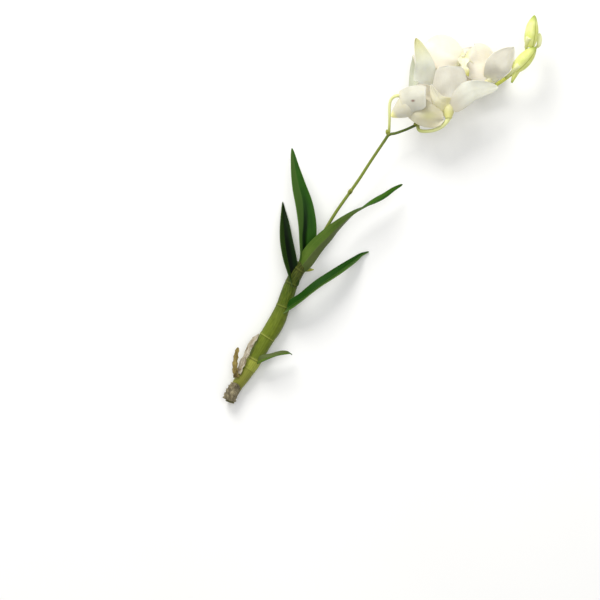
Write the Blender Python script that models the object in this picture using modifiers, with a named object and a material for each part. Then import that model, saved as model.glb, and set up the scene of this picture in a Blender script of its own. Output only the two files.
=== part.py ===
"""A cut dendrobium orchid stem, laid on a table.

The jointed cane lies along its belly with leaves clasping its nodes and dry sheaths at its foot.
A slender spike leaves its top and carries five white blooms and three buds. Metres, +Z up, table
at Z = 0. Places below are millimetres in the plan of the stem: +X right, +Y towards the buds.
"""

import math
from collections import namedtuple

import bmesh
import bpy
from mathutils import Vector

MM = 0.001
# The middle of the whole stem's box in the plan, which becomes the origin.
MIDDLE = Vector((-4.9, -2.0, 0))

# Driving sizes, in millimetres.
GAP = 0.35
LEAF_THICKNESS = 1.1
SHEATH_THICKNESS = 0.8
TEPAL_THICKNESS = 0.75
LIP_THICKNESS = 0.8
CORE_RADIUS = 3.4
COLUMN_FOOT = 2.6
COLUMN_RADIUS = 2.1
PEDICEL_RADIUS = 1.4
NODE_RIDGE = 0.4
NODE_RIDGE_REACH = 1.6
NODE_WAIST = 0.045
EDGE_WAVE = 0.5

# The cane's line from the cut end to its top: x, y, height and radius.
CANE = [
    (-158, -195, 5.0, 4.6),
    (-155.5, -188, 5.4, 5.0),
    (-151, -179, 6.2, 5.8),
    (-145.2, -170.5, 6.8, 6.5),
    (-139.5, -162, 7.2, 7.1),
    (-134, -154, 7.4, 7.4),
    (-127.7, -142, 7.7, 7.7),
    (-121, -130.5, 8.0, 8.1),
    (-114.7, -121, 8.1, 8.4),
    (-109, -110.5, 8.0, 8.0),
    (-104.3, -99, 7.6, 7.2),
    (-100, -87.5, 8.2, 7.0),
    (-96.5, -77.5, 9.2, 6.8),
    (-92.5, -69, 10.4, 6.5),
    (-87.5, -61, 11.8, 6.0),
    (-83, -55, 13, 5.4),
    (-79.5, -50, 14, 4.2),
]
CANE_STATIONS = 48
CANE_SIDES = 12
# How far along the cane its nodes are, as a share of its length.
CANE_NODES = [0.105, 0.238, 0.305, 0.459, 0.669, 0.821, 0.918]
# The small pointed scale at the top node.
SCALE = [(-84, -61, 12, 3), (-78, -61.5, 12.5, 2), (-73, -61.5, 13, 0.5)]

# The spike's line, from the cane's side to the stalk of the last bud: x, y, height and radius.
SPIKE = [
    (-83, -56, 10, 1.9),
    (-76, -44.5, 11.5, 1.85),
    (-65, -27, 13, 1.8),
    (-52, -5.5, 15, 1.75),
    (-42, 9, 17, 1.7),
    (-28.5, 28, 20, 1.65),
    (-15.5, 48, 23, 1.6),
    (-2, 68, 26, 1.6),
    (2, 73.5, 26.5, 1.65),
    (9, 75, 26.5, 1.5),
    (20, 79, 25.5, 1.45),
    (31, 84, 24, 1.5),
    (43, 87.5, 22, 1.4),
    (58, 94, 19, 1.35),
    (74, 102.5, 17.5, 1.3),
    (97, 116, 18, 1.25),
    (110, 124, 21, 2.0),
    (119, 130, 25, 2.0),
    (128, 137, 28, 1.6),
    (137, 146.5, 28.5, 1.3),
    (144, 155, 29, 1.1),
    (147.5, 159, 29.5, 1.1),
    (150, 161, 30, 1.0),
]
SPIKE_STATIONS = 56
SPIKE_SIDES = 6

# Every flower stalk's line, from the middle of the spike to inside the bloom or bud that it holds.
PEDICELS = {
    "bloom_1": [(2, 73.5, 26.5), (2.5, 88, 30), (2.5, 103, 33), (5, 109.5, 35), (11, 112, 36.5),
                (21, 109.5, 37)],
    "bloom_2": [(43, 87.5, 22), (42, 97, 19.5), (40, 108, 19), (37.5, 120, 23)],
    "bloom_3": [(31, 83.5, 24), (32, 78, 29), (38, 76.5, 34), (47, 77.5, 38), (55, 81.5, 40),
                (61, 89, 40.5), (62, 99, 40)],
    "bloom_4": [(86, 109.5, 17.7), (86, 118, 13.5), (83, 131, 15), (78.5, 140.5, 23), (77, 146, 33)],
    "bloom_5": [(106, 121, 20), (104.5, 123.5, 20), (103, 126, 22), (102, 128, 27)],
    "bud_1": [(128, 137, 28), (129.5, 140, 32), (131, 142.5, 36)],
    "bud_2": [(144, 155, 29), (140.5, 159.5, 29.5), (141, 165, 30), (143, 168, 33.5)],
    "bud_3": [(148.5, 160, 30), (151, 162, 30)],
}
PEDICEL_STATIONS = 8

# The small dry scales that sheathe the spike's joints: where each starts and ends.
BRACTS = [
    ((-76, -44.5, 11.5), (-71, -36.5, 12.2)),
    ((-38, 14.8, 18), (-34, 20.5, 18.8)),
    ((2, 73.5, 26.5), (-0.5, 78.5, 27.5)),
    ((28, 82.5, 24.5), (30.5, 86.5, 24.5)),
    ((104, 120.5, 19.5), (108.5, 123, 20.6)),
]
BRACT_FOOT, BRACT_BELLY, BRACT_TIP = 2.2, 2.5, 1.2

# A tepal runs from the bloom's centre through its middle to its tip. Its face is the way that
# its inner side looks, and its cup is how strongly that side is hollowed, per millimetre.
Tepal = namedtuple("Tepal", "kind middle tip half face cup")
Bloom = namedtuple("Bloom", "centre column chin chin_radius tepals lip lip_face")
# A kind of tepal: where it is widest, its half width at the foot and how blunt its tip is.
Kind = namedtuple("Kind", "widest neck point")
PETAL = Kind(0.6, 2.4, 0.6)
HOOD = Kind(0.6, 4.5, 0.45)
SEPAL = Kind(0.42, 3.0, 0.8)
WING = Kind(0.42, 6.0, 0.62)

BLOOMS = {
    "bloom_1": Bloom(
        centre=(21, 106, 39), column=(28, 105, 40), chin=(4.5, 92.5, 36), chin_radius=8.2,
        tepals=[
            Tepal(HOOD, (28.5, 112, 50), (35.5, 112, 58), 12, (0.75, -0.1, -0.65), 0.03),
            Tepal(PETAL, (34, 113, 34), (48, 108, 33), 11, (0.1, -0.25, 0.95), 0.03),
            Tepal(SEPAL, (25.7, 131, 32.5), (25, 154, 30), 6, (0.7, 0.04, -0.7), 0.03),
            Tepal(WING, (37, 92.5, 47), (55, 86, 44), 12.8, (0.1, 0.15, -0.98), 0.045),
            Tepal(SEPAL, (36, 97, 30), (50, 94, 28), 8, (0, 0.15, 0.97), 0.03),
        ],
        lip=[(26, 105, 37), (33, 101.5, 38), (40, 98, 38), (47, 95.5, 37)],
        lip_face=(0.1, 0.35, 0.9),
    ),
    "bloom_2": Bloom(
        centre=(37, 121, 24), column=(35, 125, 18), chin=(42, 116, 24), chin_radius=3.8,
        tepals=[
            Tepal(SEPAL, (38.8, 143, 41), (28, 169, 45), 9.3, (0.1, 0, -0.97), 0.02),
            Tepal(PETAL, (49, 132, 14), (59, 143, 4), 11, (-0.5, -0.5, -0.6), 0.02),
            Tepal(PETAL, (28, 111, 12), (22, 101, 3), 9, (0.4, 0.5, -0.7), 0.02),
            Tepal(SEPAL, (45, 109, 11), (52, 99, -0.4), 7, (-0.4, 0.6, -0.6), 0.02),
            Tepal(SEPAL, (35, 137, 12), (34, 151, -0.4), 7, (0, -0.6, -0.7), 0.02),
        ],
        lip=[(34, 124, 17), (31, 128, 12.5), (29, 132.5, 9), (28, 138, 7.5)],
        lip_face=(0.3, -0.3, -0.9),
    ),
    "bloom_3": Bloom(
        centre=(62, 100, 40), column=(62, 106, 36), chin=(60, 95, 49), chin_radius=4.2,
        tepals=[
            Tepal(SEPAL, (51, 109, 51), (43.5, 122, 53), 5.4, (0.3, 0.1, -0.95), 0.03),
            Tepal(HOOD, (63, 121, 46), (64, 140.5, 46.5), 16.5, (0, 0.1, -0.98), 0.015),
            Tepal(WING, (83.5, 116.5, 50), (110.5, 121, 40), 10.3, (0, -0.2, -0.98), 0.03),
            Tepal(SEPAL, (56, 109, 28), (52, 118, 14), 6.5, (0, -0.8, -0.5), 0.02),
            Tepal(SEPAL, (68, 111, 28), (70, 121, 14), 6, (0, -0.8, -0.5), 0.02),
        ],
        lip=[(62.5, 105, 34.5), (62, 110.5, 30.5), (63, 116, 27), (66, 121, 25.5)],
        lip_face=(0.1, 0.4, -0.9),
    ),
    "bloom_4": Bloom(
        centre=(77, 147, 33), column=(75.5, 152, 39.5), chin=(74, 138.5, 22), chin_radius=3.8,
        tepals=[
            Tepal(HOOD, (58, 155, 33), (37, 161, 22), 17.3, (-0.2, 0.05, 0.97), 0.015),
            Tepal(HOOD, (92, 147.5, 29.5), (108, 154.5, 22), 17, (0.2, 0, 0.97), 0.015),
            Tepal(SEPAL, (81, 155, 28), (90, 160, 17), 7.5, (0.3, 0.4, 0.85), 0.02),
            Tepal(SEPAL, (69, 138, 28), (61, 127, 22), 7.5, (-0.2, -0.3, 0.9), 0.02),
            Tepal(SEPAL, (84, 137, 24), (90, 129, 19), 7, (0.2, -0.3, 0.9), 0.02),
        ],
        lip=[(76.5, 152, 38), (76, 145, 42), (77.5, 138, 43.5), (81, 130.5, 43)],
        lip_face=(0, 0.4, 0.9),
    ),
    "bloom_5": Bloom(
        centre=(102, 128, 27), column=(105, 132, 22), chin=(97, 124, 26), chin_radius=3.8,
        tepals=[
            Tepal(PETAL, (110.3, 142, 43), (124.5, 156.8, 45), 10.8, (-0.2, -0.1, -0.95), 0.02),
            Tepal(PETAL, (95, 137, 14), (90, 149, 4), 10, (0.4, -0.5, -0.7), 0.02),
            Tepal(SEPAL, (109, 136, 13), (115, 147, 2), 7.5, (-0.4, -0.5, -0.7), 0.02),
            Tepal(SEPAL, (100, 134, 11), (99, 141, -0.4), 6, (0, -0.6, -0.6), 0.02),
            Tepal(SEPAL, (93, 124, 13), (86, 121, 3), 6, (0.7, 0.3, -0.6), 0.02),
        ],
        lip=[(106, 129.5, 21), (110, 131, 16), (114, 133.5, 12), (118, 137, 10)],
        lip_face=(-0.4, 0.3, -0.85),
    ),
}
# How the chin's radius changes from the core to its tip, as shares of its length and its radius.
CHIN = [(0, 0.75), (0.3, 1), (0.6, 0.97), (0.85, 0.68), (1, 0.35)]
# The lip's half width: its least, what its side lobes and its middle lobe add, and their spread.
LIP_WAIST, LIP_LOBES, LIP_TONGUE, LIP_SPREAD = 1.8, 4.4, 1.6, 0.16

# A leaf's route starts inside the cane. Its fold is the angle between its halves and the flat,
# in degrees, and its wrap is the radius to which its foot curls round the cane.
Leaf = namedtuple("Leaf", "route facings half widest neck point fold wrap")
LEAVES = {
    "leaf_1": Leaf(
        route=[(-129.5, -154, 13.5), (-124.5, -151.5, 17), (-117.5, -149.3, 18), (-110, -147, 18.3),
               (-103, -145.3, 17.5), (-98, -145.2, 15.5), (-95.3, -147, 11)],
        facings=[(-0.4, 0.3, 0.6), (-0.3, 0.75, 0.55), (-0.2, 0.75, 0.6), (0.2, 0.8, 0.5)],
        half=4.4, widest=0.42, neck=3.2, point=0.8, fold=22, wrap=8.6,
    ),
    "leaf_2": Leaf(
        route=[(-103, -103, 11), (-97, -98.3, 15.5), (-91, -94.5, 18), (-84, -90, 19.5),
               (-77, -84.5, 20.5), (-67, -76.7, 20), (-54, -67.8, 17), (-42, -59.2, 12),
               (-32, -51.8, 6.5), (-25, -46.3, 2.2), (-17.5, -43.3, -0.4)],
        facings=[(-0.5, 0.2, 0.5), (-0.45, 0.6, 0.55), (-0.4, 0.65, 0.6), (-0.3, 0.6, 0.7),
                 (-0.35, 0.6, 0.7)],
        half=5.9, widest=0.45, neck=4.2, point=0.8, fold=24, wrap=7,
    ),
    "leaf_3": Leaf(
        route=[(-88, -61, 15), (-81, -52.5, 21), (-74, -43.5, 25), (-67, -36, 27), (-59, -28.5, 28.5),
               (-52, -21.5, 29), (-42, -12.8, 28.5), (-32, -4.9, 27.5), (-22, 1, 26), (-12, 6.8, 24),
               (-2, 12.5, 22), (7, 19, 20), (16, 24, 18)],
        facings=[(0.1, -0.3, -0.95), (-0.35, 0.25, -0.9), (-0.5, 0.5, -0.7), (-0.65, 0.65, -0.2),
                 (-0.6, 0.8, 0.25), (-0.45, 0.65, 0.6)],
        half=8.2, widest=0.36, neck=5.6, point=0.8, fold=14, wrap=6.5,
    ),
    "leaf_4": Leaf(
        route=[(-84.5, -57, 13), (-81, -45, 18), (-80, -32, 21.5), (-80, -17, 24.5), (-83, 3, 27),
               (-87.8, 21, 27), (-91.8, 40, 24.5), (-94, 59, 20)],
        facings=[(0.3, 0.2, 0.9), (0.25, 0.1, 0.95), (0.15, 0.05, 0.98), (0.05, 0.1, 0.98),
                 (-0.1, 0.2, 0.95)],
        half=9.6, widest=0.5, neck=3.4, point=0.82, fold=14, wrap=5,
    ),
    "leaf_5": Leaf(
        route=[(-94.5, -79, 13.5), (-96.5, -65, 15.5), (-99, -54, 15.5), (-101, -42, 14),
               (-102.5, -30, 11.5), (-103.5, -16, 7.5), (-104.1, -4, 3.2), (-104.5, 7, -0.4)],
        facings=[(0.5, 0.1, 0.5), (0.6, 0.2, 0.6), (0.6, 0.2, 0.65), (0.5, 0.2, 0.75)],
        half=9.4, widest=0.42, neck=4.6, point=0.8, fold=34, wrap=6.3,
    ),
}
# What each leaf is cut clear of, beside the cane.
LEAF_NEIGHBOURS = {"leaf_4": ["leaf_3"], "leaf_5": ["leaf_3", "leaf_4"]}

# The dry sheaths: each one's route up the cane's side, which way it looks, its half width, its
# curl, per millimetre, and how deep its wrinkles are.
Sheath = namedtuple("Sheath", "route face half curl wave")
SHEATHS = {
    "sheath_collar": Sheath(
        [(-158.5, -193, 13.2), (-156.5, -187, 13.9), (-153.5, -181, 14.4), (-150.5, -176, 14.6)],
        (0, 0, -1), 9, 0.14, 0.3,
    ),
    "sheath_tall": Sheath(
        [(-149.5, -165.5, 13), (-144.5, -154, 14.5), (-140, -144, 15), (-135.5, -134.5, 14.5),
         (-128.5, -126, 13.5)],
        (0.55, -0.3, -0.78), 3.9, 0.06, 0.5,
    ),
    "sheath_short": Sheath(
        [(-151, -170, 13.5), (-152.5, -160, 15.5), (-151.5, -149, 17), (-149.5, -139.5, 17)],
        (0.3, 0.1, -0.95), 3.2, 0.1, 0.5,
    ),
}
SHEATH_NEIGHBOURS = {"sheath_tall": ["sheath_collar"], "sheath_short": ["sheath_collar", "sheath_tall"]}

# The buds: x, y, height and radius from the base to the point, and the chin's tip.
Bud = namedtuple("Bud", "body chin")
BUDS = {
    "bud_1": Bud(
        [(127, 136, 36, 3.4), (130.5, 141, 37, 6.6), (136.5, 147.5, 38, 7.6), (142.5, 154, 38, 6),
         (146.5, 158, 37.5, 3), (148.5, 160, 37, 0.6)],
        (124.4, 125, 33),
    ),
    "bud_2": Bud(
        [(142.5, 162.5, 34.5, 3.2), (143, 167, 35.5, 6.3), (144, 174.5, 36, 7), (145, 182.5, 36, 5.8),
         (146.5, 189, 35.5, 3), (147.2, 192.3, 35, 0.6)],
        (147, 163, 34),
    ),
    "bud_3": Bud(
        [(151.5, 161.2, 30, 1.2), (152, 164, 30, 2.4), (152.6, 168.5, 30, 2.7), (152.6, 172.5, 30, 1.9),
         (152.4, 175, 30, 0.5)],
        (153.5, 161.8, 30),
    ),
}


def clear_scene():
    """Empties the startup scene."""
    for obj in list(bpy.data.objects):
        bpy.data.objects.remove(obj)
    for group in list(bpy.data.collections):
        bpy.data.collections.remove(group)


def collection(name):
    """A new collection in the scene."""
    made = bpy.data.collections.new(name)
    bpy.context.scene.collection.children.link(made)
    return made


def paint(obj, colour, roughness):
    """Gives the object a plain surface of its own."""
    made = bpy.data.materials.new(obj.name)
    made.use_nodes = True
    shader = made.node_tree.nodes["Principled BSDF"]
    shader.inputs["Base Color"].default_value = (*colour, 1)
    shader.inputs["Roughness"].default_value = roughness
    shader.inputs["Metallic"].default_value = 0
    obj.data.materials.clear()
    obj.data.materials.append(made)
    obj.data.shade_smooth()
    obj.data.set_sharp_from_angle(angle=math.radians(50))


def at(point):
    """A place of the plan, in millimetres, as one of the model, in metres."""
    return (Vector(point[:3]) - MIDDLE) * MM


def through(points, share):
    """The place at a share of the way through a list of points, on a Catmull-Rom curve."""
    spans = len(points) - 1
    if spans == 0:
        return list(points[0])
    place = min(max(share, 0), 1) * spans
    first = min(int(place), spans - 1)
    t = place - first
    near = [points[min(max(first + k, 0), spans)] for k in (-1, 0, 1, 2)]
    return [
        0.5 * (2 * b + (c - a) * t + (2 * a - 5 * b + 4 * c - d) * t**2 + (3 * b - a - 3 * c + d) * t**3)
        for a, b, c, d in zip(*near)
    ]


def evened(points, count):
    """Stations along the curve through the points, at equal steps of its length."""
    fine = [through(points, i / 400) for i in range(401)]
    run = [0.0]
    for a, b in zip(fine, fine[1:]):
        run.append(run[-1] + math.dist(a[:3], b[:3]))
    stations = []
    k = 0
    for i in range(count):
        goal = run[-1] * i / (count - 1)
        while k < 399 and run[k + 1] < goal:
            k += 1
        t = (goal - run[k]) / (run[k + 1] - run[k])
        stations.append([a + (b - a) * t for a, b in zip(fine[k], fine[k + 1])])
    return stations


def add_mesh(name, group, shape):
    """A new object made of the bmesh, which is freed."""
    mesh = bpy.data.meshes.new(name)
    shape.to_mesh(mesh)
    shape.free()
    obj = bpy.data.objects.new(name, mesh)
    group.objects.link(obj)
    return obj


def drop_scraps(shape):
    """Removes every loose body of the bmesh but the largest."""
    seen, bodies = set(), []
    for first in shape.verts:
        if first in seen:
            continue
        seen.add(first)
        body, ends = [], [first]
        while ends:
            vert = ends.pop()
            body.append(vert)
            for edge in vert.link_edges:
                other = edge.other_vert(vert)
                if other not in seen:
                    seen.add(other)
                    ends.append(other)
        bodies.append(body)
    bodies.sort(key=len)
    scraps = [vert for body in bodies[:-1] for vert in body]
    bmesh.ops.delete(shape, geom=scraps, context="VERTS")


def solid(obj, cut=False):
    """The object with its curve or modifiers applied, as one mesh of triangles.

    The caps of a new shape are welded to its sides. After a cut only the loose scraps are dropped.
    """
    bpy.context.view_layer.update()
    graph = bpy.context.evaluated_depsgraph_get()
    mesh = bpy.data.meshes.new_from_object(obj.evaluated_get(graph))
    shape = bmesh.new()
    shape.from_mesh(mesh)
    if cut:
        drop_scraps(shape)
    else:
        bmesh.ops.remove_doubles(shape, verts=shape.verts, dist=0.004 * MM)
        bmesh.ops.recalc_face_normals(shape, faces=shape.faces)
        if shape.calc_volume(signed=True) < 0:
            bmesh.ops.reverse_faces(shape, faces=shape.faces)
    bmesh.ops.triangulate(shape, faces=shape.faces)
    bpy.data.meshes.remove(mesh)
    name, group = obj.name, obj.users_collection[0]
    bpy.data.objects.remove(obj)
    return add_mesh(name, group, shape)


def lengthened(stations, spare):
    """The stations with the first and the last moved outwards by the spare millimetres."""
    moved = [list(station) for station in stations]
    for end, inner in ((0, 1), (-1, -2)):
        tip = Vector(stations[end][:3])
        moved[end][:3] = tip + (tip - Vector(stations[inner][:3])).normalized() * spare
    return moved


def tube(name, group, stations, sides, spare=0.0):
    """A round rod along stations of x, y, height and radius, grown by the spare millimetres."""
    stations = lengthened(stations, spare)
    data = bpy.data.curves.new(name, "CURVE")
    data.dimensions = "3D"
    data.bevel_depth = MM
    data.bevel_resolution = (sides - 4) // 2
    data.use_fill_caps = True
    line = data.splines.new("POLY")
    line.points.add(len(stations) - 1)
    for point, station in zip(line.points, stations):
        point.co = (*at(station), 1)
        point.radius = station[3] + spare
    obj = bpy.data.objects.new(name, data)
    group.objects.link(obj)
    return solid(obj)


def ball(name, group, centre, radius, rings):
    """A ball at a place of the plan."""
    shape = bmesh.new()
    bmesh.ops.create_uvsphere(shape, u_segments=rings * 2, v_segments=rings, radius=radius * MM)
    bmesh.ops.translate(shape, verts=shape.verts, vec=at(centre))
    return add_mesh(name, group, shape)


def blade(name, group, route, facings, width, along, across, thickness, fold=0.0, cup=None, wave=0.0):
    """A thin leaf or petal along a route.

    width(u) is the half width at a share u of the length, fold the angle by which each half is
    lifted, in degrees, cup(u) the cross section's curvature and wave the height of the edge's ripple.
    """
    shape = bmesh.new()
    bmesh.ops.create_grid(shape, x_segments=along, y_segments=across, size=1)
    lift_angle = math.radians(fold)
    for vert in shape.verts:
        u, v = (vert.co.x + 1) / 2, vert.co.y
        here = Vector(through(route, u)[:3])
        ahead = Vector(through(route, min(u + 0.01, 1))[:3]) - Vector(through(route, max(u - 0.01, 0))[:3])
        ahead.normalize()
        facing = Vector(through(facings, u))
        facing = (facing - ahead * facing.dot(ahead)).normalized()
        side = facing.cross(ahead)
        reach = v * width(u)
        bend = cup(u) if cup else 0.0
        if abs(bend) > 1e-6:
            out, lift = math.sin(bend * reach) / bend, (1 - math.cos(bend * reach)) / bend
        else:
            out, lift = reach, 0.0
        lift += (math.sqrt(out * out + 1) - 1) * math.sin(lift_angle)
        lift += wave * abs(v) ** 3 * math.sin(11 * u + 2.4 * v) * min(1, 4 * u)
        vert.co = at(here + side * out * math.cos(lift_angle) + facing * lift)
    bmesh.ops.triangulate(shape, faces=shape.faces)
    bmesh.ops.remove_doubles(shape, verts=shape.verts, dist=0.02 * MM)
    obj = add_mesh(name, group, shape)
    wall = obj.modifiers.new("wall", "SOLIDIFY")
    wall.thickness = thickness * MM
    wall.offset = 0
    return solid(obj)


def combined(first, others, operation):
    """The first object joined with, or cut by, the others, which are then removed."""
    helpers = collection("helpers")
    for obj in others:
        for home in obj.users_collection:
            home.objects.unlink(obj)
        helpers.objects.link(obj)
    change = first.modifiers.new("change", "BOOLEAN")
    change.operation = operation
    change.operand_type = "COLLECTION"
    change.collection = helpers
    change.solver = "MANIFOLD"
    made = solid(first, cut=True)
    for obj in others:
        bpy.data.objects.remove(obj)
    bpy.data.collections.remove(helpers)
    return made


def table(group):
    """A block under the table's top, which cuts the flat spots that the stem rests on."""
    shape = bmesh.new()
    bmesh.ops.create_cube(shape, size=1)
    bmesh.ops.translate(shape, verts=shape.verts, vec=Vector((0, 0, -0.5)))
    return add_mesh("table", group, shape)


def cane_stations():
    """The cane's stations, slimmer at each node's waist and with a ridge on it."""
    stations = evened(CANE, CANE_STATIONS)
    length = sum(math.dist(a[:3], b[:3]) for a, b in zip(stations, stations[1:]))
    marks = [0, *CANE_NODES, 1]
    made = []
    for i, (x, y, z, radius) in enumerate(stations):
        share = i / (CANE_STATIONS - 1)
        low = max(m for m in marks if m <= share)
        high = min([m for m in marks if m > share] or [1.01])
        radius *= 1 - NODE_WAIST * (0.55 - math.sin(math.pi * (share - low) / (high - low)))
        away = min(abs(share - m) for m in CANE_NODES) * length
        radius += NODE_RIDGE * max(0, 1 - away / NODE_RIDGE_REACH)
        made.append((x, y, z, radius))
    return made


def cane_shapes(group, spare=0.0):
    """The cane and the scale at its top node, grown by the spare millimetres."""
    return [
        tube("cane", group, cane_stations(), CANE_SIDES, spare),
        tube("scale", group, SCALE, 6, spare),
    ]


def make_cane(group):
    """The cane, with the small flat spot that it lies on."""
    cane, scale = cane_shapes(group)
    return combined(combined(cane, [scale], "UNION"), [table(group)], "DIFFERENCE")


def tapered(widest, half, neck, point):
    """A blade's outline: its half width along a neck, widest at that share of its length."""
    power = math.log(0.5) / math.log(widest)

    def width(u):
        body = max(math.sin(math.pi * min(max(u, 0), 1) ** power), 0) ** point
        return neck * (1 - u) ** 2 + (half - neck * (1 - widest) ** 2) * body

    return width


def grown(width, spare):
    """The outline made wider by the spare millimetres."""
    return lambda u: width(u) + spare


def leaf_shape(name, group, leaf, spare=0.0):
    """A leaf's whole blade, its foot wrapped round the cane, grown by the spare millimetres."""

    def cup(u):
        return max(0, 1 - u / 0.16) ** 2 / leaf.wrap + 0.012

    outline = tapered(leaf.widest, leaf.half, leaf.neck, leaf.point)
    return blade(
        name, group, leaf.route, leaf.facings, grown(outline, spare), along=14, across=4,
        thickness=LEAF_THICKNESS + 2 * spare, fold=leaf.fold, cup=cup, wave=EDGE_WAVE,
    )


def make_leaf(group, name):
    """One leaf, cut clear of the cane and of the leaves that it meets."""
    made = leaf_shape(name, group, LEAVES[name])
    room = cane_shapes(group, GAP)
    room += [leaf_shape("room", group, LEAVES[other], GAP) for other in LEAF_NEIGHBOURS.get(name, [])]
    return combined(combined(made, room, "DIFFERENCE"), [table(group)], "DIFFERENCE")


def sheath_shape(name, group, sheath, spare=0.0):
    """A dry sheath beside the cane's foot, grown by the spare millimetres."""

    def width(u):
        return sheath.half * (1 - 0.35 * u) * max(0, min(1, 6 * (1 - u))) ** 0.5 + spare

    return blade(
        name, group, sheath.route, [sheath.face], width, along=9, across=4,
        thickness=SHEATH_THICKNESS + 2 * spare, cup=lambda u: sheath.curl, wave=sheath.wave,
    )


def make_sheath(group, name):
    """One dry sheath, cut clear of the cane and of the sheaths that it meets."""
    made = sheath_shape(name, group, SHEATHS[name])
    room = cane_shapes(group, GAP)
    room += [sheath_shape("room", group, SHEATHS[other], GAP) for other in SHEATH_NEIGHBOURS.get(name, [])]
    return combined(combined(made, room, "DIFFERENCE"), [table(group)], "DIFFERENCE")


def bloom_shapes(name, group, bloom, spare=0.0):
    """The core, tepals, chin and column of a bloom, grown by the spare millimetres."""
    centre, chin = Vector(bloom.centre), Vector(bloom.chin)
    shapes = [ball(name, group, centre, CORE_RADIUS + spare, 5)]
    for tepal in bloom.tepals:
        start = tuple(centre.lerp(Vector(tepal.middle), 0.06))
        outline = tapered(tepal.kind.widest, tepal.half, tepal.kind.neck, tepal.kind.point)
        shapes.append(blade(
            "tepal", group, [start, tepal.middle, tepal.tip], [tepal.face], grown(outline, spare),
            along=6, across=4, thickness=TEPAL_THICKNESS + 2 * spare, cup=lambda u, t=tepal: t.cup,
            wave=EDGE_WAVE,
        ))
    sac = [(*centre.lerp(chin, t), bloom.chin_radius * share) for t, share in CHIN]
    shapes.append(tube("chin", group, sac, 8, spare))
    column = [(*centre, COLUMN_FOOT), (*bloom.column, COLUMN_RADIUS)]
    shapes.append(tube("column", group, column, 6, spare))
    return shapes


def make_bloom(group, name):
    """The body of one bloom: five tepals round a core, the column in front and the chin behind."""
    core, *pieces = bloom_shapes(name, group, BLOOMS[name])
    return combined(combined(core, pieces, "UNION"), [table(group)], "DIFFERENCE")


def lip_width(u):
    """The lip's half width: side lobes near its foot, a waist, then the pointed middle lobe."""
    lobes = LIP_LOBES * math.exp(-(((u - 0.28) / LIP_SPREAD) ** 2))
    tongue = LIP_TONGUE * math.exp(-(((u - 0.74) / LIP_SPREAD) ** 2))
    return (LIP_WAIST + lobes + tongue) * max(0, min(1, 5 * (1 - u))) ** 0.8


def make_lip(group, name, bloom_name):
    """The lip of one bloom, a trough under the column, cut clear of the bloom's body."""
    bloom = BLOOMS[bloom_name]
    made = blade(
        name, group, bloom.lip, [bloom.lip_face], lip_width, along=8, across=4,
        thickness=LIP_THICKNESS, cup=lambda u: 0.16 * max(0, 1 - u / 0.65) + 0.02, wave=EDGE_WAVE,
    )
    return combined(made, bloom_shapes("room", group, bloom, GAP), "DIFFERENCE")


def bud_shapes(name, group, bud, spare=0.0):
    """The body and the short chin of a bud, grown by the spare millimetres."""
    heart = bud.body[1]
    start, end = Vector(heart[:3]), Vector(bud.chin)
    reach = [(*start.lerp(end, t), heart[3] * (0.75 - 0.6 * t)) for t in (0.0, 0.35, 0.7, 1.0)]
    return [tube(name, group, evened(bud.body, 10), 10, spare), tube("chin", group, reach, 6, spare)]


def make_bud(group, name):
    """One closed bud with the short chin at its base."""
    body, chin = bud_shapes(name, group, BUDS[name])
    return combined(body, [chin], "UNION")


def make_spike(group):
    """The spike: its bare stalk and zigzag axis, every flower stalk and the small bracts."""
    axis = tube("spike", group, evened(SPIKE, SPIKE_STATIONS), SPIKE_SIDES)
    pieces = []
    for line in PEDICELS.values():
        stations = [(*point, PEDICEL_RADIUS) for point in evened(line, PEDICEL_STATIONS)]
        pieces.append(tube("stalk", group, stations, SPIKE_SIDES))
    for start, end in BRACTS:
        belly = Vector(start).lerp(Vector(end), 0.6)
        stations = [(*start, BRACT_FOOT), (*belly, BRACT_BELLY), (*end, BRACT_TIP)]
        pieces.append(tube("bract", group, stations, SPIKE_SIDES))
    made = combined(axis, pieces, "UNION")
    room = cane_shapes(group, GAP)
    room += [leaf_shape("room", group, LEAVES[name], GAP) for name in ("leaf_3", "leaf_4")]
    for bloom in BLOOMS.values():
        room += bloom_shapes("room", group, bloom, GAP)
    for bud in BUDS.values():
        room += bud_shapes("room", group, bud, GAP)
    return combined(made, room, "DIFFERENCE")


def main():
    """Builds the stem."""
    clear_scene()
    stem = collection("dendrobium_stem")
    paint(make_cane(stem), (0.30, 0.38, 0.08), 0.45)
    for name in LEAVES:
        paint(make_leaf(stem, name), (0.06, 0.20, 0.02), 0.35)
    for name in SHEATHS:
        paint(make_sheath(stem, name), (0.52, 0.45, 0.28), 0.85)
    paint(make_spike(stem), (0.34, 0.45, 0.08), 0.45)
    for name in BLOOMS:
        paint(make_bloom(stem, name), (0.90, 0.89, 0.80), 0.5)
        paint(make_lip(stem, name.replace("bloom", "lip"), name), (0.82, 0.80, 0.35), 0.5)
    for name in BUDS:
        paint(make_bud(stem, name), (0.66, 0.78, 0.25), 0.45)


main()
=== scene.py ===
"""The looks of a cut dendrobium orchid stem, laid on a pale table and seen from above.

Each sub-assembly is a class with its sizes as fields: the cane, its leaves and dry sheaths, the
flower spike, the blooms with their lips, and the buds. Every finish is a frozen dataclass that
builds one procedural material. Places are millimetres in the plan of the stem, +X right and +Y
towards the buds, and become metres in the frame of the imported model.
"""

import logging
import math
from dataclasses import dataclass, field
from enum import Enum
from typing import Callable, Sequence

import bmesh
import bpy
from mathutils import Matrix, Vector, noise


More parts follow.
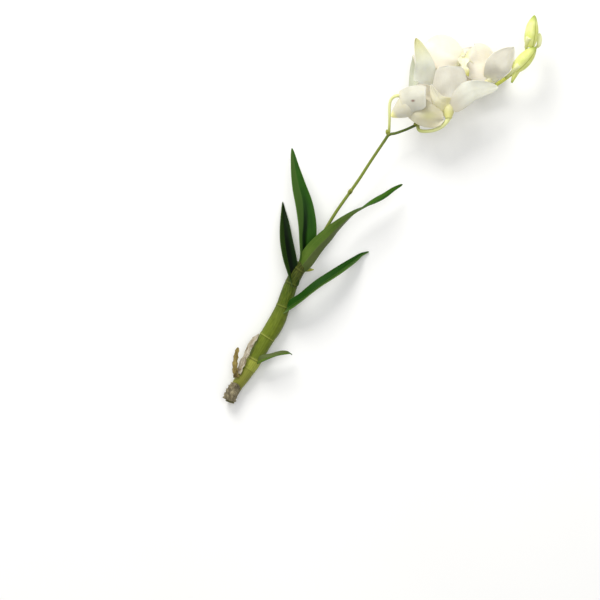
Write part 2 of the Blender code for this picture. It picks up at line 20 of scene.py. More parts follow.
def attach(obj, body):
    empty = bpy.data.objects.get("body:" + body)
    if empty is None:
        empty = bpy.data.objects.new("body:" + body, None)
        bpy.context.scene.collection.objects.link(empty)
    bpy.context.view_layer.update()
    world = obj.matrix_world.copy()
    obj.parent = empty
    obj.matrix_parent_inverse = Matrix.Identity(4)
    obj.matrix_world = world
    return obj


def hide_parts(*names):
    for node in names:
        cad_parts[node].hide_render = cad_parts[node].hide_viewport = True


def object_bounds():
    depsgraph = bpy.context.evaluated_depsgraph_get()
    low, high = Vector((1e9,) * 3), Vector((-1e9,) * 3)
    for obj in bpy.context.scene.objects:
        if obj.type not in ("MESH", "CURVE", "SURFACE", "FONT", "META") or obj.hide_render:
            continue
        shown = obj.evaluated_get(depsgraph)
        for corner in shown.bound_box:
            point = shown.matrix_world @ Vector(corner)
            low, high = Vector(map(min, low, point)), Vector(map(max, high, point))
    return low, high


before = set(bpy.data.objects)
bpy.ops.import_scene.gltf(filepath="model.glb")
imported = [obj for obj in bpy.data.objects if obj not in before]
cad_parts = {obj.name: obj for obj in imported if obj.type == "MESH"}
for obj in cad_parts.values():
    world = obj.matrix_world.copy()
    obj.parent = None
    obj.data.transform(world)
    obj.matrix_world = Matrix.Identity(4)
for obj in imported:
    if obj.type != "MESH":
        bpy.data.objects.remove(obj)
CAD_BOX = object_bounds()

logging.basicConfig(level=logging.INFO, format="%(message)s")
log = logging.getLogger("orchid")

Point = tuple[float, ...]
Colour = tuple[float, float, float, float]
Material = bpy.types.Material
Object = bpy.types.Object
Socket = bpy.types.NodeSocket

MM = 0.001
BODY = "root"
# The middle of the whole stem's box in the plan, which is the model's origin.
PLAN_MIDDLE = Vector((-4.9, -2.0, 0.0))
# How finely a route is measured, and the share of it that gives its direction.
FINE_STEPS = 400
NEAR_STEP = 0.01


def place(point: Sequence[float]) -> Vector:
    """Turns a place of the plan into one of the model.

    Args:
        point: x, y and height in millimetres, and perhaps more values, which are left out.

    Returns:
        The same place in metres.
    """
    return (Vector(point[:3]) - PLAN_MIDDLE) * MM


def tone(red: int, green: int, blue: int) -> Colour:
    """Turns a colour as a screen shows it into the one that a shader takes.

    Args:
        red: the red part, from 0 to 255.
        green: the green part.
        blue: the blue part.

    Returns:
        The linear colour, with alpha 1.
    """
    parts = [value / 255 for value in (red, green, blue)]
    lit = [v / 12.92 if v <= 0.04045 else ((v + 0.055) / 1.055) ** 2.4 for v in parts]
    return lit[0], lit[1], lit[2], 1.0


class Slot(Enum):
    """The record's material slots."""

    CANE = "cane"
    LEAF = "leaf"
    SHEATH = "sheath"
    SPIKE = "spike"
    PETAL = "petal"
    LIP = "lip"
    BUD = "bud"


class Flow(Enum):
    """Which way a surface's own map runs along a piece."""

    ALONG = "X"
    ACROSS = "Y"


@dataclass(frozen=True)
class Route:
    """A smooth line through a few stations, each of which may carry more values than its place."""

    stations: tuple[Point, ...]

    def at(self, share: float) -> list[float]:
        """Finds the values at a share of the way, on a Catmull-Rom curve.

        Args:
            share: from 0 at the first station to 1 at the last.

        Returns:
            As many values as each station has.
        """
        spans = len(self.stations) - 1
        if spans == 0:
            return list(self.stations[0])
        spot = min(max(share, 0.0), 1.0) * spans
        first = min(int(spot), spans - 1)
        t = spot - first
        near = [self.stations[min(max(first + k, 0), spans)] for k in (-1, 0, 1, 2)]
        return [
            0.5 * (2 * b + (c - a) * t + (2 * a - 5 * b + 4 * c - d) * t**2 + (3 * b - a - 3 * c + d) * t**3)
            for a, b, c, d in zip(*near)
        ]

    def heading(self, share: float) -> Vector:
        """Returns the unit direction of the line at a share of the way."""
        ahead = Vector(self.at(min(share + NEAR_STEP, 1.0))[:3])
        return (ahead - Vector(self.at(max(share - NEAR_STEP, 0.0))[:3])).normalized()

    def evened(self, count: int) -> "Route":
        """Spaces the stations evenly.

        Args:
            count: how many stations the new route has.

        Returns:
            The route with stations at equal steps of its length.
        """
        fine = [self.at(i / FINE_STEPS) for i in range(FINE_STEPS + 1)]
        run = [0.0]
        for a, b in zip(fine, fine[1:]):
            run.append(run[-1] + math.dist(a[:3], b[:3]))
        made: list[Point] = []
        k = 0
        for i in range(count):
            goal = run[-1] * i / (count - 1)
            while k < FINE_STEPS - 1 and run[k + 1] < goal:
                k += 1
            t = (goal - run[k]) / max(run[k + 1] - run[k], 1e-9)
            made.append(tuple(a + (b - a) * t for a, b in zip(fine[k], fine[k + 1])))
        return Route(tuple(made))


class Wiring:
    """Adds and joins the nodes of one material or shader group."""

    def __init__(self, tree: bpy.types.NodeTree) -> None:
        """Keeps the tree that the nodes go into."""
        self.tree = tree

    def add(self, kind: str, values: dict[str, object] | None = None, **settings: object) -> bpy.types.Node:
        """Adds a node.

        Args:
            kind: the node's type name.
            values: for each input's name, a value or the output that feeds it.
            settings: the node's own options.

        Returns:
            The new node.
        """
        made = self.tree.nodes.new(kind)
        for name, value in settings.items():
            setattr(made, name, value)
        for name, value in (values or {}).items():
            self.feed(made.inputs[name], value)
        return made

    def feed(self, socket: Socket, value: object) -> None:
        """Sets an input, or links an output to it.

        Args:
            socket: the input.
            value: a number, a colour or another node's output.
        """
        if isinstance(value, Socket):
            self.tree.links.new(value, socket)
        else:
            socket.default_value = value

    def maths(self, operation: str, first: object, second: object = 0.0, clamp: bool = False) -> Socket:
        """Adds a Math node.

        Args:
            operation: what it works out.
            first: its first number or output.
            second: its second one.
            clamp: whether the result stays from 0 to 1.

        Returns:
            The result's output.
        """
        made = self.tree.nodes.new("ShaderNodeMath")
        made.operation = operation
        made.use_clamp = clamp
        self.feed(made.inputs[0], first)
        self.feed(made.inputs[1], second)
        return made.outputs[0]

    def mixed(self, share: object, first: object, second: object) -> Socket:
        """Mixes two colours.

        Args:
            share: how much of the second colour there is.
            first: the colour at 0.
            second: the colour at 1.

        Returns:
            The mixed colour's output.
        """
        made = self.tree.nodes.new("ShaderNodeMix")
        made.data_type = "RGBA"
        self.feed(made.inputs[0], share)
        self.feed(made.inputs[6], first)
        self.feed(made.inputs[7], second)
        return made.outputs[2]

    def ramp(self, share: Socket, stops: Sequence[tuple[float, Colour]]) -> Socket:
        """Colours a value by a row of stops.

        Args:
            share: the value, from 0 to 1.
            stops: each stop's place and colour, in order.

        Returns:
            The colour's output.
        """
        made = self.tree.nodes.new("ShaderNodeValToRGB")
        bar = made.color_ramp
        bar.elements[0].position, bar.elements[0].color = stops[0]
        bar.elements[1].position, bar.elements[1].color = stops[-1]
        for position, colour in stops[1:-1]:
            stop = bar.elements.new(position)
            stop.color = colour
        self.feed(made.inputs[0], share)
        return made.outputs[0]

    def ranged(self, value: object, low: object, high: object, start: float = 0.0,
               end: float = 1.0) -> Socket:
        """Maps a value from low to high smoothly onto start to end.

        Args:
            value: the number or output that is mapped.
            low: the value that gives start.
            high: the value that gives end.
            start: the first result.
            end: the last result.

        Returns:
            The result's output.
        """
        made = self.tree.nodes.new("ShaderNodeMapRange")
        made.interpolation_type = "SMOOTHSTEP"
        for socket, number in zip(made.inputs, (value, low, high, start, end)):
            self.feed(socket, number)
        return made.outputs[0]

    def part(self, flow: Flow) -> Socket:
        """Returns the share of the way along or across the piece's own map."""
        source = self.add("ShaderNodeUVMap", uv_map="UVMap")
        split = self.add("ShaderNodeSeparateXYZ", {"Vector": source.outputs[0]})
        return split.outputs[flow.value]

    def tinted(self, mask: Socket, share: float, skin: Socket, colour: Colour) -> Socket:
        """Tints a skin with a colour where a mask is.

        Args:
            mask: where the colour goes.
            share: how strong it is there.
            skin: the colour so far.
            colour: the colour that comes over it.

        Returns:
            The tinted colour's output.
        """
        return self.mixed(self.maths("MULTIPLY", mask, share), skin, colour)

    def mask(self, tree: bpy.types.NodeTree, **values: object) -> Socket:
        """Adds a shared effect.

        Args:
            tree: the effect's node group.
            values: its inputs.

        Returns:
            The output of the effect's mask.
        """
        made = self.tree.nodes.new("ShaderNodeGroup")
        made.node_tree = tree
        for name, value in values.items():
            self.feed(made.inputs[name], value)
        return made.outputs[0]


def new_effect(name: str, inputs: dict[str, float]) -> tuple[Wiring, bpy.types.Node, bpy.types.Node]:
    """Starts a node group that puts out one mask.

    Args:
        name: the group's name.
        inputs: each number that it takes, with its usual value.

    Returns:
        The wiring, the group's input node and its output node.
    """
    tree = bpy.data.node_groups.new(name, "ShaderNodeTree")
    for key, usual in inputs.items():
        socket = tree.interface.new_socket(key, in_out="INPUT", socket_type="NodeSocketFloat")
        socket.default_value = usual
    tree.interface.new_socket("Mask", in_out="OUTPUT", socket_type="NodeSocketFloat")
    wiring = Wiring(tree)
    return wiring, tree.nodes.new("NodeGroupInput"), tree.nodes.new("NodeGroupOutput")


class Effects:
    """The effects that several finishes share, each built once."""

    def __init__(self) -> None:
        """Builds the groups."""
        self.veins = self.make_veins()
        self.mottle = self.make_mottle()
        self.fibres = self.make_fibres()
        self.rim = self.make_rim()
        self.spot = self.make_spot()

    @staticmethod
    def make_veins() -> bpy.types.NodeTree:
        """Builds fine lines that run along a blade and wander a little.

        Returns:
            The group, whose Mask is 1 on a vein.
        """
        wires, given, out = new_effect("veins", {"Count": 20.0, "Wander": 0.02, "Width": 0.2})
        along, across = wires.part(Flow.ALONG), wires.part(Flow.ACROSS)
        spot = wires.add("ShaderNodeCombineXYZ", {"X": wires.maths("MULTIPLY", along, 4.0),
                                                  "Y": wires.maths("MULTIPLY", across, 9.0)})
        stir = wires.add("ShaderNodeTexNoise", {"Vector": spot.outputs[0], "Scale": 1.0, "Detail": 2.0})
        push = wires.maths("MULTIPLY", wires.maths("SUBTRACT", stir.outputs[0], 0.5),
                           given.outputs["Wander"])
        turn = wires.maths("MULTIPLY", wires.maths("ADD", across, push), given.outputs["Count"])
        wave = wires.maths("ABSOLUTE", wires.maths("SINE", wires.maths("MULTIPLY", turn, math.pi)))
        mask = wires.maths("SUBTRACT", 1.0, wires.maths("DIVIDE", wave, given.outputs["Width"]), clamp=True)
        wires.feed(out.inputs[0], mask)
        return wires.tree

    @staticmethod
    def make_mottle() -> bpy.types.NodeTree:
        """Builds soft blotches in the piece's own space.

        Returns:
            The group, whose Mask is from 0 to 1.
        """
        wires, given, out = new_effect("mottle", {"Scale": 80.0, "Detail": 3.0, "Low": 0.35, "High": 0.65})
        source = wires.add("ShaderNodeTexCoord")
        cloud = wires.add("ShaderNodeTexNoise",
                          {"Vector": source.outputs["Object"], "Scale": given.outputs["Scale"],
                                                 "Detail": given.outputs["Detail"]})
        mask = wires.ranged(cloud.outputs[0], given.outputs["Low"], given.outputs["High"])
        wires.feed(out.inputs[0], mask)
        return wires.tree

    @staticmethod
    def make_fibres() -> bpy.types.NodeTree:
        """Builds streaks that are long along a piece and thin across it.

        Returns:
            The group, whose Mask is from 0 to 1.
        """
        wires, given, out = new_effect("fibres", {"Long": 5.0, "Thin": 60.0, "Low": 0.35, "High": 0.65})
        spot = wires.add("ShaderNodeCombineXYZ", {
            "X": wires.maths("MULTIPLY", wires.part(Flow.ALONG), given.outputs["Long"]),
            "Y": wires.maths("MULTIPLY", wires.part(Flow.ACROSS), given.outputs["Thin"])})
        cloud = wires.add("ShaderNodeTexNoise", {"Vector": spot.outputs[0], "Scale": 1.0, "Detail": 4.0})
        mask = wires.ranged(cloud.outputs[0], given.outputs["Low"], given.outputs["High"])
        wires.feed(out.inputs[0], mask)
        return wires.tree

    @staticmethod
    def make_rim() -> bpy.types.NodeTree:
        """Builds a band along both side edges of a blade.

        Returns:
            The group, whose Mask is 1 at the edges.
        """
        wires, given, out = new_effect("rim", {"Reach": 0.1})
        away = wires.maths("ABSOLUTE", wires.maths("SUBTRACT", wires.part(Flow.ACROSS), 0.5))
        inner = wires.maths("SUBTRACT", 0.5, given.outputs["Reach"])
        wires.feed(out.inputs[0], wires.ranged(away, inner, 0.5))
        return wires.tree

    @staticmethod
    def make_spot() -> bpy.types.NodeTree:
        """Builds one small blot at a place in the model.

        Returns:
            The group, whose Mask is 1 in the middle of the blot.
        """
        wires, given, out = new_effect("spot", {"X": 0.0, "Y": 0.0, "Z": 0.0, "Size": 0.002})
        source = wires.add("ShaderNodeTexCoord")
        middle = wires.add("ShaderNodeCombineXYZ", {axis: given.outputs[axis] for axis in "XYZ"})
        gap = wires.add("ShaderNodeVectorMath", {0: source.outputs["Object"], 1: middle.outputs[0]},
                        operation="SUBTRACT")
        away = wires.add("ShaderNodeVectorMath", {0: gap.outputs[0], 1: (0.6, 1.0, 0.3)},
                         operation="MULTIPLY")
        size = wires.add("ShaderNodeVectorMath", {0: away.outputs[0]}, operation="LENGTH")
        wires.feed(out.inputs[0], wires.ranged(size.outputs["Value"], given.outputs["Size"], 0.0))
        return wires.tree


EFFECTS = Effects()


@dataclass(frozen=True)
class Surface:
    """What every finish sets on the shader's own sockets."""

    rough: float = 0.5
    shine: float = 0.3
    glow: float = 0.0
    glow_reach: float = 0.0015
    glow_tint: tuple[float, float, float] = (1.0, 0.9, 0.6)
    relief: float = 0.3
    relief_depth: float = 0.0003

    def start(self, name: str) -> tuple[Material, Wiring, bpy.types.Node]:
        """Makes a material with its plain values set.

        Args:
            name: the material's name.

        Returns:
            The material, its wiring and its shader.
        """
        made = bpy.data.materials.new(name)
        made.use_nodes = True
        wires = Wiring(made.node_tree)
        shader = made.node_tree.nodes["Principled BSDF"]
        shader.inputs["Roughness"].default_value = self.rough
        shader.inputs["Specular IOR Level"].default_value = self.shine
        shader.inputs["Subsurface Weight"].default_value = self.glow
        shader.inputs["Subsurface Scale"].default_value = self.glow_reach
        shader.inputs["Subsurface Radius"].default_value = self.glow_tint
        return made, wires, shader

    def raised(self, wires: Wiring, shader: bpy.types.Node, height: Socket) -> None:
        """Bumps the surface by a height.

        Args:
            wires: the material's wiring.
            shader: its shader.
            height: what gives the height, from 0 to 1.
        """
        bump = wires.add("ShaderNodeBump",
                         {"Height": height, "Strength": self.relief, "Distance": self.relief_depth})
        wires.feed(shader.inputs["Normal"], bump.outputs[0])


def blot(wires: Wiring, spot: Point, size: float) -> Socket:
    """Adds a small blot to a material.

    Args:
        wires: the material's wiring.
        spot: where the blot is in the plan, in millimetres.
        size: how far it reaches, in millimetres.

    Returns:
        The mask's output.
    """
    middle = place(spot)
    return wires.mask(EFFECTS.spot, X=middle.x, Y=middle.y, Z=middle.z, Size=size * MM)


@dataclass(frozen=True)
class Finish:
    """One procedural material: a colour and a height over the plain values of a surface."""

    name: str
    surface: Surface = field(default=Surface(), kw_only=True)

    def look(self, wires: Wiring) -> tuple[Socket, Socket]:
        """Returns the outputs of the colour and the height, which each finish works out."""
        raise NotImplementedError

    def material(self) -> Material:
        """Returns the finish as a material."""
        made, wires, shader = self.surface.start(self.name)
        colour, height = self.look(wires)
        wires.feed(shader.inputs["Base Color"], colour)
        self.surface.raised(wires, shader, height)
        return made


@dataclass(frozen=True)
class TepalFinish(Finish):
    """A petal's or sepal's skin: creamy, tinged at the foot and the tip, with faint veins."""

    pale: Colour
    shade: Colour
    foot: Colour
    tip: Colour
    vein: Colour
    foot_reach: float = 0.3
    tip_reach: float = 0.85
    vein_share: float = 0.25
    bruise: Colour = tone(128, 98, 86)
    bruise_at: Point = (0.0, 0.0, -100.0)
    bruise_size: float = 2.0
    surface: Surface = field(default=Surface(rough=0.48, glow=0.25, relief=0.35, relief_depth=0.0002),
                             kw_only=True)

    def look(self, wires: Wiring) -> tuple[Socket, Socket]:
        """Returns the outputs of the colour and the height."""
        along = wires.part(Flow.ALONG)
        clouds = wires.mask(EFFECTS.mottle, Scale=70.0, Low=0.3, High=0.7)
        veins = wires.mask(EFFECTS.veins, Count=22.0, Wander=0.05, Width=0.5)
        skin = wires.mixed(clouds, self.pale, self.shade)
        skin = wires.mixed(wires.ranged(along, self.foot_reach, 0.0), skin, self.foot)
        skin = wires.mixed(wires.ranged(along, self.tip_reach, 1.0), skin, self.tip)
        skin = wires.tinted(veins, self.vein_share, skin, self.vein)
        skin = wires.mixed(blot(wires, self.bruise_at, self.bruise_size), skin, self.bruise)
        grain = wires.mask(EFFECTS.mottle, Scale=900.0, Low=0.2, High=0.8)
        height = wires.maths("ADD", wires.maths("MULTIPLY", veins, -0.8),
                             wires.maths("MULTIPLY", grain, 0.25))
        return skin, height


@dataclass(frozen=True)
class LeafFinish(Finish):
    """A leaf's skin: darker and lighter green, a pale edge and midrib, fine parallel veins, painted light and shade on
    the far half of the fold, and painted shade in the fold beside the midrib.
    """

    deep: Colour
    light: Colour
    edge: Colour
    rib: Colour
    # Painted light and shade: the colour of the blade's far half, lighter than the rest on most leaves and darker on
    # leaf_2, standing for how the light falls on the fold, and how strongly it shows.
    painted_half_shading: Colour
    painted_half_share: float = 0.0
    # Painted shade in the fold beside the midrib towards the foot: its colour, its strength and how far along it
    # reaches.
    painted_fold_shade: Colour = tone(8, 30, 6)
    painted_fold_shade_share: float = 0.0
    painted_fold_shade_reach: float = 0.5
    # How far the midrib line, the painted half and the painted fold shade move sideways near the foot.
    midrib_and_shade_lean: float = 0.0
    surface: Surface = field(default=Surface(rough=0.36, shine=0.14, relief=0.4, relief_depth=0.0004),
                             kw_only=True)

    def look(self, wires: Wiring) -> tuple[Socket, Socket]:
        """Returns the outputs of the colour and the height."""
        along, across = wires.part(Flow.ALONG), wires.part(Flow.ACROSS)
        clouds = wires.mask(EFFECTS.mottle, Scale=55.0, Low=0.25, High=0.75)
        streaks = wires.mask(EFFECTS.fibres, Long=3.0, Thin=26.0, Low=0.3, High=0.7)
        veins = wires.mask(EFFECTS.veins, Count=26.0, Wander=0.015, Width=0.45)
        skin = wires.mixed(wires.maths("MULTIPLY", wires.maths("ADD", clouds, streaks), 0.5), self.deep,
                           self.light)
        # Moves the midrib line, the painted half and the painted fold shade sideways near the foot.
        across = wires.maths("SUBTRACT", across, wires.ranged(along, 0.68, 0.3, 0.0, self.midrib_and_shade_lean))
        # Painted light and shade: the far half of the fold takes its own colour.
        other = wires.maths("MULTIPLY", wires.ranged(across, 0.47, 0.53), self.painted_half_share)
        skin = wires.mixed(other, skin, self.painted_half_shading)
        # Painted shade in the fold beside the midrib, fading out along the blade.
        trough = wires.maths("MULTIPLY", wires.ranged(across, 0.54, 0.46), wires.ranged(across, 0.14, 0.34))
        trough = wires.maths("MULTIPLY", trough,
                             wires.ranged(along, self.painted_fold_shade_reach + 0.2, self.painted_fold_shade_reach - 0.2))
        skin = wires.tinted(trough, self.painted_fold_shade_share, skin, self.painted_fold_shade)
        near = wires.maths("ABSOLUTE", wires.maths("SUBTRACT", across, 0.5))
        skin = wires.mixed(wires.ranged(near, 0.035, 0.0, 0.0, 0.45), skin, self.rib)
        rim = wires.mask(EFFECTS.rim, Reach=0.07)
        skin = wires.tinted(rim, 0.5, skin, self.edge)
        skin = wires.mixed(wires.ranged(along, 0.1, 0.0, 0.0, 0.6), skin, self.edge)
        skin = wires.mixed(wires.ranged(along, 0.96, 1.0, 0.0, 0.7), skin, self.rib)
        skin = wires.tinted(veins, 0.12, skin, self.light)
        height = wires.maths("SUBTRACT", wires.maths("MULTIPLY", clouds, 0.4), veins)
        return skin, height


@dataclass(frozen=True)
class CaneFinish(Finish):
    """The cane's skin: its own colour in each joint, pale and dark rings, fine furrows and specks."""

    joints: tuple[tuple[float, Colour], ...]
    rings: tuple[tuple[float, float, float, float], ...]
    ring_pale: Colour
    ring_dark: Colour
    speck: Colour
    side_light: Colour
    surface: Surface = field(default=Surface(rough=0.42, shine=0.14, relief=0.5, relief_depth=0.0004),
                             kw_only=True)

    def look(self, wires: Wiring) -> tuple[Socket, Socket]:
        """Returns the outputs of the colour and the height."""
        along = wires.part(Flow.ALONG)
        streaks = wires.mask(EFFECTS.fibres, Long=26.0, Thin=34.0, Low=0.35, High=0.7)
        furrows = wires.mask(EFFECTS.veins, Count=22.0, Wander=0.03, Width=0.6)
        clouds = wires.mask(EFFECTS.mottle, Scale=130.0, Low=0.45, High=0.7)
        skin = wires.ramp(along, self.joints)
        skin = wires.tinted(streaks, 0.35, skin, self.side_light)
        skin = wires.tinted(clouds, 0.3, skin, self.speck)
        skin = wires.tinted(furrows, 0.22, skin, self.speck)
        for spot, half, pale, dark in self.rings:
            away = wires.maths("ABSOLUTE", wires.maths("SUBTRACT", along, spot))
            skin = wires.mixed(wires.ranged(away, half, half * 0.3, 0.0, pale), skin, self.ring_pale)
            shifted = wires.maths("ABSOLUTE", wires.maths("SUBTRACT", along, spot - 1.6 * half))
            skin = wires.mixed(wires.ranged(shifted, half * 1.1, 0.0, 0.0, dark), skin, self.ring_dark)
        height = wires.maths("SUBTRACT", wires.maths("MULTIPLY", streaks, 0.5), furrows)
        return skin, height


@dataclass(frozen=True)
class StalkFinish(Finish):
    """A flower stalk's skin: a few colours along its length, with fine streaks."""

    colours: tuple[tuple[float, Colour], ...]
    streak: Colour
    surface: Surface = field(default=Surface(rough=0.42, relief=0.3, relief_depth=0.0002), kw_only=True)

    def look(self, wires: Wiring) -> tuple[Socket, Socket]:
        """Returns the outputs of the colour and the height."""
        skin = wires.ramp(wires.part(Flow.ALONG), self.colours)
        streaks = wires.mask(EFFECTS.fibres, Long=12.0, Thin=14.0, Low=0.4, High=0.75)
        specks = wires.mask(EFFECTS.mottle, Scale=420.0, Low=0.55, High=0.75)
        skin = wires.tinted(streaks, 0.4, skin, self.streak)
        skin = wires.tinted(specks, 0.25, skin, self.streak)
        return skin, streaks


@dataclass(frozen=True)
class DryFinish(Finish):
    """A dry sheath's or scale's skin: papery, with raised fibres and stains."""

    paper: Colour
    fibre: Colour
    stain: Colour
    thin: float = 30.0
    surface: Surface = field(default=Surface(rough=0.85, glow=0.1, relief=0.8, relief_depth=0.0006),
                             kw_only=True)

    def look(self, wires: Wiring) -> tuple[Socket, Socket]:
        """Returns the outputs of the colour and the height."""
        fibres = wires.mask(EFFECTS.fibres, Long=3.0, Thin=self.thin, Low=0.42, High=0.6)
        stains = wires.mask(EFFECTS.mottle, Scale=160.0, Low=0.5, High=0.7)
        skin = wires.mixed(fibres, self.paper, self.fibre)
        skin = wires.tinted(stains, 0.7, skin, self.stain)
        return skin, wires.maths("ADD", fibres, wires.maths("MULTIPLY", stains, 0.4))


@dataclass(frozen=True)
class BudFinish(Finish):
    """A closed bud's skin: yellow-green, darker at its foot and point and along its seams."""

    body: Colour
    lit: Colour
    foot: Colour
    point: Colour
    seam: Colour
    seams: int = 3
    surface: Surface = field(default=Surface(rough=0.42, glow=0.15, relief=0.3, relief_depth=0.0002),
                             kw_only=True)

    def look(self, wires: Wiring) -> tuple[Socket, Socket]:
        """Returns the outputs of the colour and the height."""
        along, across = wires.part(Flow.ALONG), wires.part(Flow.ACROSS)
        clouds = wires.mask(EFFECTS.mottle, Scale=110.0, Low=0.3, High=0.7)
        veins = wires.mask(EFFECTS.veins, Count=30.0, Wander=0.02, Width=0.5)
        skin = wires.mixed(clouds, self.body, self.lit)
        skin = wires.mixed(wires.ranged(along, 0.35, 0.0), skin, self.foot)
        skin = wires.mixed(wires.ranged(along, 0.72, 1.0), skin, self.point)
        turn = wires.maths("COSINE", wires.maths("MULTIPLY", across, math.pi * self.seams))
        seam = wires.ranged(wires.maths("ABSOLUTE", turn), 0.22, 0.0)
        skin = wires.tinted(seam, 0.75, skin, self.seam)
        skin = wires.tinted(veins, 0.15, skin, self.seam)
        return skin, wires.maths("MULTIPLY", veins, -1.0)


@dataclass(frozen=True)
class FleshFinish(Finish):
    """The skin of a bloom's chin, column and core: two colours along the piece, and soft blotches."""

    root: Colour
    end: Colour
    blush: Colour
    turn_low: float = 0.3
    turn_high: float = 0.8
    surface: Surface = field(default=Surface(rough=0.4, glow=0.25, relief=0.25, relief_depth=0.0002),
                             kw_only=True)

    def look(self, wires: Wiring) -> tuple[Socket, Socket]:
        """Returns the outputs of the colour and the height."""
        along = wires.part(Flow.ALONG)
        clouds = wires.mask(EFFECTS.mottle, Scale=200.0, Low=0.3, High=0.7)
        skin = wires.mixed(wires.ranged(along, self.turn_low, self.turn_high), self.root, self.end)
        skin = wires.tinted(clouds, 0.2, skin, self.blush)
        return skin, clouds


@dataclass(frozen=True)
class CutFinish(Finish):
    """The cane's cut face: pale pith with darker strands."""

    pith: Colour
    strand: Colour
    surface: Surface = field(default=Surface(rough=0.7, relief=0.4, relief_depth=0.0003), kw_only=True)

    def look(self, wires: Wiring) -> tuple[Socket, Socket]:
        """Returns the outputs of the colour and the height."""
        source = wires.add("ShaderNodeTexCoord")
        cells = wires.add("ShaderNodeTexVoronoi", {"Vector": source.outputs["Object"], "Scale": 900.0})
        dots = wires.ranged(cells.outputs["Distance"], 0.35, 0.15)
        skin = wires.mixed(dots, self.pith, self.strand)
        return skin, dots


@dataclass(frozen=True)
class TableFinish(Finish):
    """The plain pale floor."""

    pale: Colour
    cloud: Colour
    surface: Surface = field(default=Surface(rough=0.8, relief=0.05), kw_only=True)

    def look(self, wires: Wiring) -> tuple[Socket, Socket]:
        """Returns the outputs of the colour and the height."""
        clouds = wires.mask(EFFECTS.mottle, Scale=3.0, Low=0.2, High=0.8)
        return wires.mixed(clouds, self.pale, self.cloud), clouds


def new_object(name: str, form: bmesh.types.BMesh, finishes: Sequence[Material]) -> Object:
    """Makes a smooth object of a form, and frees the form.

    Args:
        name: the object's name.
        form: its shape, in metres in the model's frame.
        finishes: its materials, in the order of the faces' material numbers.

    Returns:
        The new object, in the scene.
    """
    mesh = bpy.data.meshes.new(name)
    form.to_mesh(mesh)
    form.free()
    for finish in finishes:
        mesh.materials.append(finish)
    mesh.shade_smooth()
    made = bpy.data.objects.new(name, mesh)
    bpy.context.scene.collection.objects.link(made)
    return made


def rounded(obj: Object, levels: int) -> None:
    """Smooths an object with subdivision.

    Args:
        obj: the object.
        levels: how many times it is divided, in the viewport and in a render.
    """
    smooth = obj.modifiers.new("smooth", "SUBSURF")
    smooth.levels = levels
    smooth.render_levels = levels


def settled(obj: Object, node: str) -> Object:
    """Fastens a finished piece to the frame.

    Args:
        obj: the piece.
        node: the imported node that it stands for.

    Returns:
        The same piece.
    """
    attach(obj, BODY)
    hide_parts(node)
    log.info("piece %s stands for %s, %d faces before its modifiers", obj.name, node,
             len(obj.data.polygons))
    return obj


@dataclass(frozen=True)
class Outline:
    """A blade's half width along its length, in millimetres."""

    half: float
    widest: float = 0.5
    neck: float = 2.5
    point: float = 0.7

    def width(self, share: float) -> float:
        """Returns the half width at a share of the length."""
        power = math.log(0.5) / math.log(self.widest)
        body = max(math.sin(math.pi * min(max(share, 0.0), 1.0) ** power), 0.0) ** self.point
        return self.neck * (1 - share) ** 2 + (self.half - self.neck * (1 - self.widest) ** 2) * body


@dataclass
class Blade:
    """A thin sheet of plant, such as a leaf or a petal, bent along a route.

    Each half is lifted by the fold, in degrees. The cup is the cross section's curvature, per
    millimetre, and the clasp the radius to which the foot curls. The crease is the depth of the
    middle line, the ripple the height of the edge's waves and the sway a slow unevenness.
    """

    route: Route
    facings: Route
    width: Callable[[float], float]
    thickness: float
    fold: float = 0.0
    cup: Callable[[float], float] = field(default=lambda share: 0.0)
    crease: float = 0.0
    ripple: float = 0.0
    waves: float = 11.0
    sway: float = 0.0
    seed: float = 0.0
    along: int = 24
    across: int = 12
    levels: int = 1

    def shaped(self, share: float, side: float) -> Vector:
        """Finds where a point of the blade lies.

        Args:
            share: how far along it is, from 0 to 1.
            side: how far across it is, from -1 to 1.

        Returns:
            Its place in the model.
        """
        here, ahead = Vector(self.route.at(share)[:3]), self.route.heading(share)
        facing = Vector(self.facings.at(share))
        facing = (facing - ahead * facing.dot(ahead)).normalized()
        beside = facing.cross(ahead)
        reach = side * self.width(share)
        bend = self.cup(share)
        if abs(bend) > 1e-6:
            out, lift = math.sin(bend * reach) / bend, (1 - math.cos(bend * reach)) / bend
        else:
            out, lift = reach, 0.0
        angle = math.radians(self.fold)
        lift += (math.sqrt(out * out + 1) - 1) * math.sin(angle)
        lift += self.ripple * abs(side) ** 3 * math.sin(self.waves * share + 2.4 * side + self.seed) * min(1, 4 * share)
        lift -= self.crease * math.exp(-((side / 0.14) ** 2)) * math.sin(math.pi * share) ** 0.5
        lift += self.sway * noise.noise(Vector((share * 3 + self.seed, side * 1.5,
                                                self.seed))) * min(1, 4 * share)
        return place(here + beside * out * math.cos(angle) + facing * lift)

    def made(self, name: str, face: Material, back: Material) -> Object:
        """Builds the blade.

        Args:
            name: the object's name.
            face: the material of the side that looks along its facings.
            back: the material of the other side.

        Returns:
            The new object, with its thickness and smoothing as modifiers.
        """
        form = bmesh.new()
        form.loops.layers.uv.new("UVMap")
        bmesh.ops.create_grid(form, x_segments=self.along, y_segments=self.across, size=1.0, calc_uvs=True)
        for vert in form.verts:
            vert.co = self.shaped((vert.co.x + 1) / 2, vert.co.y)
        bmesh.ops.remove_doubles(form, verts=form.verts, dist=0.02 * MM)
        obj = new_object(name, form, (face, back))
        wall = obj.modifiers.new("wall", "SOLIDIFY")
        wall.thickness = self.thickness * MM
        wall.offset = 0.0
        wall.material_offset = 1
        rounded(obj, self.levels)
        return obj


